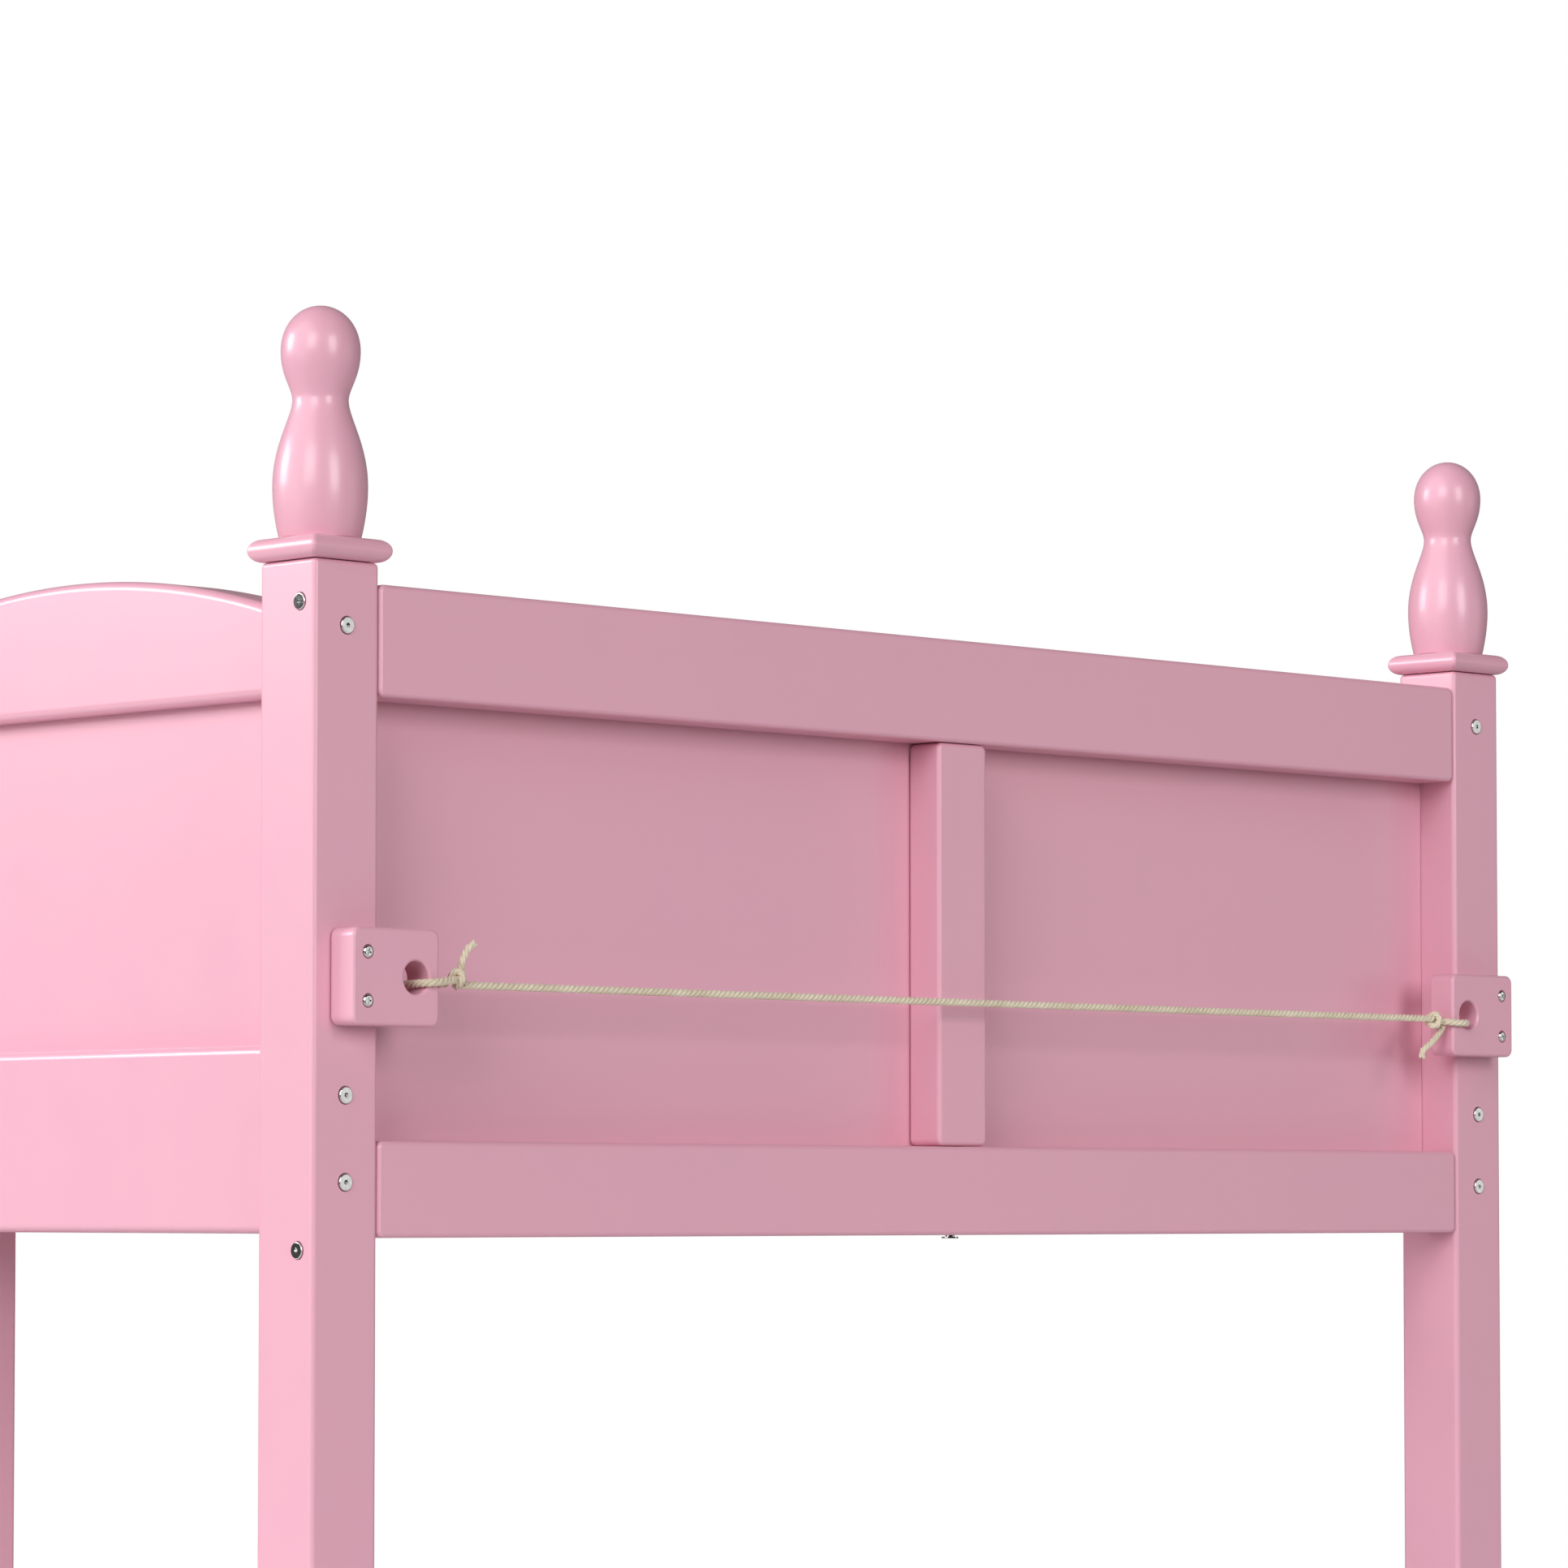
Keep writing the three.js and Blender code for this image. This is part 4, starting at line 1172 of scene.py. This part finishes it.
# %% Rope blocks
BLOCK_CORNER = 5.5 * MM
BLOCK_EDGE = 2 * MM
BORE_RADIUS = 9.75 * MM
BORE_LIP = 1.8 * MM
BORE_SIDES = 96
BORE_FROM_INNER_END = 17.8 * MM
SCREW_FROM_OUTER_END = 11.6 * MM
SCREW_SPREAD = 28.6 * MM
SCREW_RECESS_RADIUS = 4.2 * MM
SCREW_RECESS_DEPTH = 2 * MM
BLOCK_FRONT = Vector((0, -1, 0))


def bore_tool(centre, thickness):
    """What the rope's bore takes out of a block, with both of its mouths rounded over."""
    straight = thickness / 2 - BORE_LIP
    lip = BORE_RADIUS + BORE_LIP
    profile = [(0, -thickness / 2 - PAST), (lip, -thickness / 2 - PAST)]
    profile += arc(lip, -straight, BORE_LIP, 270, 180, EDGE_STEPS)
    profile += arc(lip, straight, BORE_LIP, 180, 90, EDGE_STEPS)
    profile += [(lip, thickness / 2 + PAST), (0, thickness / 2 + PAST)]
    return turned(profile, centre, -BLOCK_FRONT, BORE_SIDES)


block_screws = []
for side, side_sign in SIDES:
    node = "rope_block_" + side
    low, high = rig.box(node)
    inner = high.x if side_sign < 0 else low.x
    outer = low.x if side_sign < 0 else high.x
    middle = (low + high) / 2
    bore_centre = (inner + side_sign * BORE_FROM_INNER_END, middle.y, middle.z)
    cuts = [bore_tool(bore_centre, high.y - low.y)]
    for up in (-0.5, 0.5):
        x = outer - side_sign * SCREW_FROM_OUTER_END
        place = Vector((x, low.y, middle.z + up * SCREW_SPREAD))
        block_screws.append((place, BLOCK_FRONT))
        cuts.append(recess_tool(place, BLOCK_FRONT, SCREW_RECESS_RADIUS, SCREW_RECESS_DEPTH))
    wooden(node, board(low, high, 1, BLOCK_CORNER, BLOCK_EDGE), cuts)
print("block screws:", len(block_screws))

# %% [markdown]
# Bolts and screws are small, but they catch the light. Each head is turned from an outline whose
# rim is rounded and whose top is flat, and its drive is cut out: a hexagon socket for the bolts, a
# cross slot for the screws. A flat top mirrors one patch of the studio, so it looks evenly bright.

# %% Heads
HEAD_SIDES = 48
BOLT_HEAD_RADIUS = 5 * MM
BOLT_HEAD_THICKNESS = 3 * MM
BOLT_RIM = 0.5 * MM
BOLT_RIM_STEPS = 6
SOCKET_RADIUS = 1.6 * MM
SOCKET_DEPTH = 2.7 * MM
SOCKET_SIDES = 6
PAN_RADIUS = 3.7 * MM
PAN_HEIGHT = 2.4 * MM
PAN_RIM = 1.1 * MM
PAN_RIM_STEPS = 8
FLAT_RADIUS = 5.4 * MM
FLAT_THICKNESS = 1.2 * MM
FLAT_RIM = 0.4 * MM
FLAT_RIM_STEPS = 5
SHANK_RADIUS = 3 * MM
SHANK_SHOWN = 1.1 * MM
SLOT_WIDTH = 0.9 * MM
SLOT_REACH = 2.0 * MM
SLOT_DEPTH = 0.9 * MM
ORIGIN = (0, 0, 0)


def rounded_top(radius, height, rim, steps):
    """The outline of a head from its side, round its rim, to the middle of its flat top."""
    return arc(radius - rim, height - rim, rim, 0, 90, steps) + [(0, height)]


def bolt_head():
    """A flat head with a hexagon socket."""
    top = BOLT_HEAD_THICKNESS
    profile = [(0, 0), (BOLT_HEAD_RADIUS, 0)]
    profile += rounded_top(BOLT_HEAD_RADIUS, top, BOLT_RIM, BOLT_RIM_STEPS)
    head = plain_mesh("bolt_head", turned(profile, ORIGIN, UP, HEAD_SIDES))
    socket = [(0, top - SOCKET_DEPTH), (SOCKET_RADIUS, top - SOCKET_DEPTH),
              (SOCKET_RADIUS, top + PAST), (0, top + PAST)]
    return dressed(carved(head, [turned(socket, ORIGIN, UP, SOCKET_SIDES)]))


def cross_slotted(name, profile):
    """A head turned from a profile, with a cross slot in its top."""
    head = plain_mesh(name, turned(profile, ORIGIN, UP, HEAD_SIDES))
    top = profile[-1][1]
    slots = []
    for a, b in ((SLOT_REACH, SLOT_WIDTH / 2), (SLOT_WIDTH / 2, SLOT_REACH)):
        slots.append(block((-a, -b, top - SLOT_DEPTH), (a, b, top + PAST)))
    return dressed(carved(head, slots))


def pan_head():
    """A thick head with a well rounded rim."""
    profile = [(0, 0), (PAN_RADIUS, 0)]
    profile += rounded_top(PAN_RADIUS, PAN_HEIGHT, PAN_RIM, PAN_RIM_STEPS)
    return cross_slotted("pan_head", profile)


def flat_head():
    """A thin wide head on a shank, for a screw that isn't driven quite home."""
    profile = [(0, 0), (SHANK_RADIUS, 0), (SHANK_RADIUS, SHANK_SHOWN), (FLAT_RADIUS, SHANK_SHOWN)]
    profile += rounded_top(FLAT_RADIUS, SHANK_SHOWN + FLAT_THICKNESS, FLAT_RIM, FLAT_RIM_STEPS)
    return cross_slotted("flat_head", profile)


print("bolt head:", round(2 * BOLT_HEAD_RADIUS / MM, 1), "mm across")

# %% [markdown]
# Fasteners repeat, so one tree sets a head on every point, turned the way the point faces. It is
# spun by a seeded random angle too, because no two screws stop at the same turn.

# %% The tree that sets heads
SPIN_SEED = 7

# A Random Value node has sockets for every type of value. These are the ones for a plain number.
RANDOM_LEAST = 2
RANDOM_MOST = 3
RANDOM_RESULT = 1


def heads_tree():
    graph, given, size = new_tree("heads_on_points", (
        ("Head", "Object", None), ("Sunk", "Float", 0.0), ("Seed", "Int", SPIN_SEED)))
    facing = graph.node("GeometryNodeInputNamedAttribute", {"data_type": "FLOAT_VECTOR"},
                        {"Name": "facing"})
    sunk = graph.vector("SCALE", facing, Scale=size("Sunk") * -1)
    points = graph.node("GeometryNodeSetPosition", {}, {"Geometry": given, "Offset": sunk})
    head = graph.node("GeometryNodeObjectInfo", {"transform_space": "ORIGINAL"},
                      {"Object": size("Head")}, "Geometry")
    turn = graph.node("FunctionNodeAlignRotationToVector", {"axis": "Z"}, {"Vector": facing})
    spin = graph.node("FunctionNodeRandomValue", {"data_type": "FLOAT"}, {
        RANDOM_LEAST: 0.0, RANDOM_MOST: math.tau, "Seed": size("Seed")}, RANDOM_RESULT)
    spun = graph.node("FunctionNodeAxisAngleToRotation", {}, {"Axis": UP, "Angle": spin})
    turn = graph.node("FunctionNodeRotateRotation", {"rotation_space": "LOCAL"},
                      {"Rotation": turn, "Rotate By": spun})
    placed = graph.node("GeometryNodeInstanceOnPoints", {},
                        {"Points": points, "Instance": head, "Rotation": turn})
    return close_tree(graph, placed, size("Material"))


HEADS = heads_tree()
print("heads tree:", len(HEADS.nodes), "nodes")

# %% [markdown]
# The bolts and the block screws sit in their recesses, with their tops a little proud. The slat
# screws are driven partly into the wood, and the screw under each end isn't driven quite home.

# %% Bolts and screws
BOLT_SUNK = 2.1 * MM
SLAT_SCREW_SUNK = 0.9 * MM
MUNTIN_SCREW_SUNK = 0.0
SLAT_SCREW_SHARES = (0.25, 0.75)
DOWN = Vector((0, 0, -1))


def fasteners(name, head_mesh, places, sunk):
    """Heads on places, which are pairs of a point and the way it faces."""
    seed = bpy.data.meshes.new(name)
    seed.from_pydata([tuple(place) for place, _ in places], [], [])
    facing = seed.attributes.new("facing", "FLOAT_VECTOR", "POINT")
    for i, (_, out) in enumerate(places):
        facing.data[i].vector = out
    head = add_object("head", head_mesh)
    mesh = run_tree(HEADS, seed, {"Head": head, "Sunk": sunk, "Material": ZINC})
    drop(head)
    return piece(name, mesh, ZINC, None)


def screws_under_ends():
    """One screw goes up into the muntin from under each end's low rail."""
    found = []
    for end, _ in ENDS:
        low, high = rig.box(end + "_end_low_rail")
        found.append((Vector((0, (low.y + high.y) / 2, low.z)), DOWN))
    return found


def slat_screws():
    """Two screws at each end of each slat, over the middle of the cleat."""
    found = []
    for node in SLATS:
        low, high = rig.box(node)
        for side, _ in SIDES:
            cleat_low, cleat_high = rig.box("slat_cleat_" + side)
            for share in SLAT_SCREW_SHARES:
                y = low.y + (high.y - low.y) * share
                place = Vector(((cleat_low.x + cleat_high.x) / 2, y, high.z))
                found.append((place, Vector(UP)))
    return found


fasteners("connector_bolts", bolt_head(), all_bolts, BOLT_SUNK)
fasteners("block_screws", pan_head(), block_screws, SCREW_RECESS_DEPTH)
fasteners("muntin_screws", flat_head(), screws_under_ends(), MUNTIN_SCREW_SUNK)
made = fasteners("slat_screws", pan_head(), slat_screws(), SLAT_SCREW_SUNK)
print("slat screws:", len(made.data.polygons), "faces")

# %% [markdown]
# The studio is plain: a pale floor, a white backdrop, and four softboxes beside a pale wall. The
# highlights and the shadows in the photograph say where they stand. The key is far off to the
# left. The front box is narrow, so that the blocks throw a shadow on the panel. The strip stands
# near and behind the left corner, and draws the bright line down the turned parts. The card only
# gives the metal something pale to mirror.

# %% Floor
FLOOR_RADIUS = 5.0
FLOOR_SIDES = 96
FLOOR_FADE_START = 2.2
FLOOR_FADE_END = 4.8
FLOOR_DROP = 0.5 * MM


def grey(value):
    return (value, value, value, 1)


FLOOR_DARK = grey(0.80)
FLOOR_LIGHT = grey(0.84)


def floor_material():
    """A pale matt floor that gives way to the backdrop towards its edge."""
    material, graph = new_shader("studio_floor")
    place = graph.node("ShaderNodeTexCoord", output="Object")
    reach = graph.sibling(graph.vector("LENGTH", place), "Value")
    fade = graph.node("ShaderNodeMapRange", {"interpolation_type": "SMOOTHSTEP", "clamp": True}, {
        "Value": reach, "From Min": FLOOR_FADE_START, "From Max": FLOOR_FADE_END,
        "To Min": 1.0, "To Max": 0.0})
    mottle = noise(graph, place, scale=2.0, detail=3.0)
    colour = mixed(graph, mottle, FLOOR_DARK, FLOOR_LIGHT)
    shader = graph.node("ShaderNodeBsdfPrincipled", {}, {
        "Base Color": colour, "Roughness": 0.8, "Alpha": fade})
    finish_shader(graph, shader)
    return material


disc = bmesh.new()
bmesh.ops.create_circle(disc, cap_ends=True, segments=FLOOR_SIDES, radius=FLOOR_RADIUS)
bmesh.ops.translate(disc, verts=disc.verts[:], vec=(0, 0, -FLOOR_DROP))
floor = add_object("studio_floor", plain_mesh("studio_floor", disc))
floor.data.materials.append(floor_material())
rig.stage(floor)
print("floor radius:", FLOOR_RADIUS)

# %% Lights and backdrop
LIGHTS_AIM = Vector((-0.35, -1.0, 0.9))

# Each softbox: its name, azimuth and elevation in degrees, strength, distance, width and height.
SOFTBOXES = (
    ("key", 205, 22, 1.18, 14.0, 6.4, 6.8),
    ("front", 264, 16, 1.34, 12.0, 4.4, 6.0),
    ("strip", 131, 19, 1.40, 4.0, 1.5, 1.35),
    ("card", 315, 4, 0.15, 8.0, 3.8, 3.4),
)

# The wall: its azimuth and elevation, its strength, and how wide it is, in degrees.
WALL = (172, 27, 1.45, 70)
GLOW_RIGHT = 0.12
GLOW_BACK = 0.18
GLOW_LEAST = 0.01


def towards(azimuth, elevation):
    """A direction from an azimuth, counted from +X towards +Y, and an elevation, in degrees."""
    return spherical(math.radians(90 - azimuth), math.radians(elevation))


def softbox(name, azimuth, elevation, strength, distance, width, height):
    """A rectangle of light that faces the bed. Its strength is what it sheds there, in W/m2."""
    light = bpy.data.lights.new(name, "AREA")
    light.shape = "RECTANGLE"
    light.size = width
    light.size_y = height
    light.energy = strength * math.pi * distance ** 2
    thing = add_object(name, light)
    thing.location = LIGHTS_AIM + towards(azimuth, elevation) * distance
    aim(thing, LIGHTS_AIM - thing.location)


def lit_wall(azimuth, elevation, strength, width):
    """The pale wall on the left: a light so wide that it draws no highlight."""
    light = bpy.data.lights.new("wall", "SUN")
    light.energy = strength
    light.angle = math.radians(width)
    aim(add_object("wall", light), -towards(azimuth, elevation))


def studio_world():
    """White to the camera. What it sheds on the bed is dim, so that no side is quite black."""
    world = bpy.data.worlds.new("studio")
    world.use_nodes = True
    graph = Graph(world.node_tree)
    direction = graph.node("ShaderNodeTexCoord", output="Generated")
    x = graph.node("ShaderNodeSeparateXYZ", {}, {"Vector": direction}, "X")
    y = graph.sibling(x, "Y")
    glow = graph.math("MAXIMUM", x * GLOW_RIGHT + y * GLOW_BACK, GLOW_LEAST)
    lit = graph.node("ShaderNodeBackground", {}, {"Color": grey(1.0), "Strength": glow})
    seen = graph.node("ShaderNodeBackground", {}, {"Color": grey(1.0), "Strength": 1.0})
    camera_ray = graph.node("ShaderNodeLightPath", output="Is Camera Ray")
    both = graph.node("ShaderNodeMixShader", {}, {0: camera_ray, 1: lit, 2: seen})
    graph.node("ShaderNodeOutputWorld", {}, {"Surface": both})
    return world


scene.world = studio_world()
for settings in SOFTBOXES:
    softbox(*settings)
lit_wall(*WALL)
scene.view_settings.view_transform = "Standard"
print("softboxes:", len(SOFTBOXES))

# %% Sizes, and the end
seen_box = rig.bounds()
with open("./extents.json", "w") as size_file:
    json.dump({"cad": [list(corner) for corner in cad_box],
               "visual": [list(corner) for corner in seen_box]}, size_file)
print("box:", [[round(v, 4) for v in corner] for corner in seen_box])
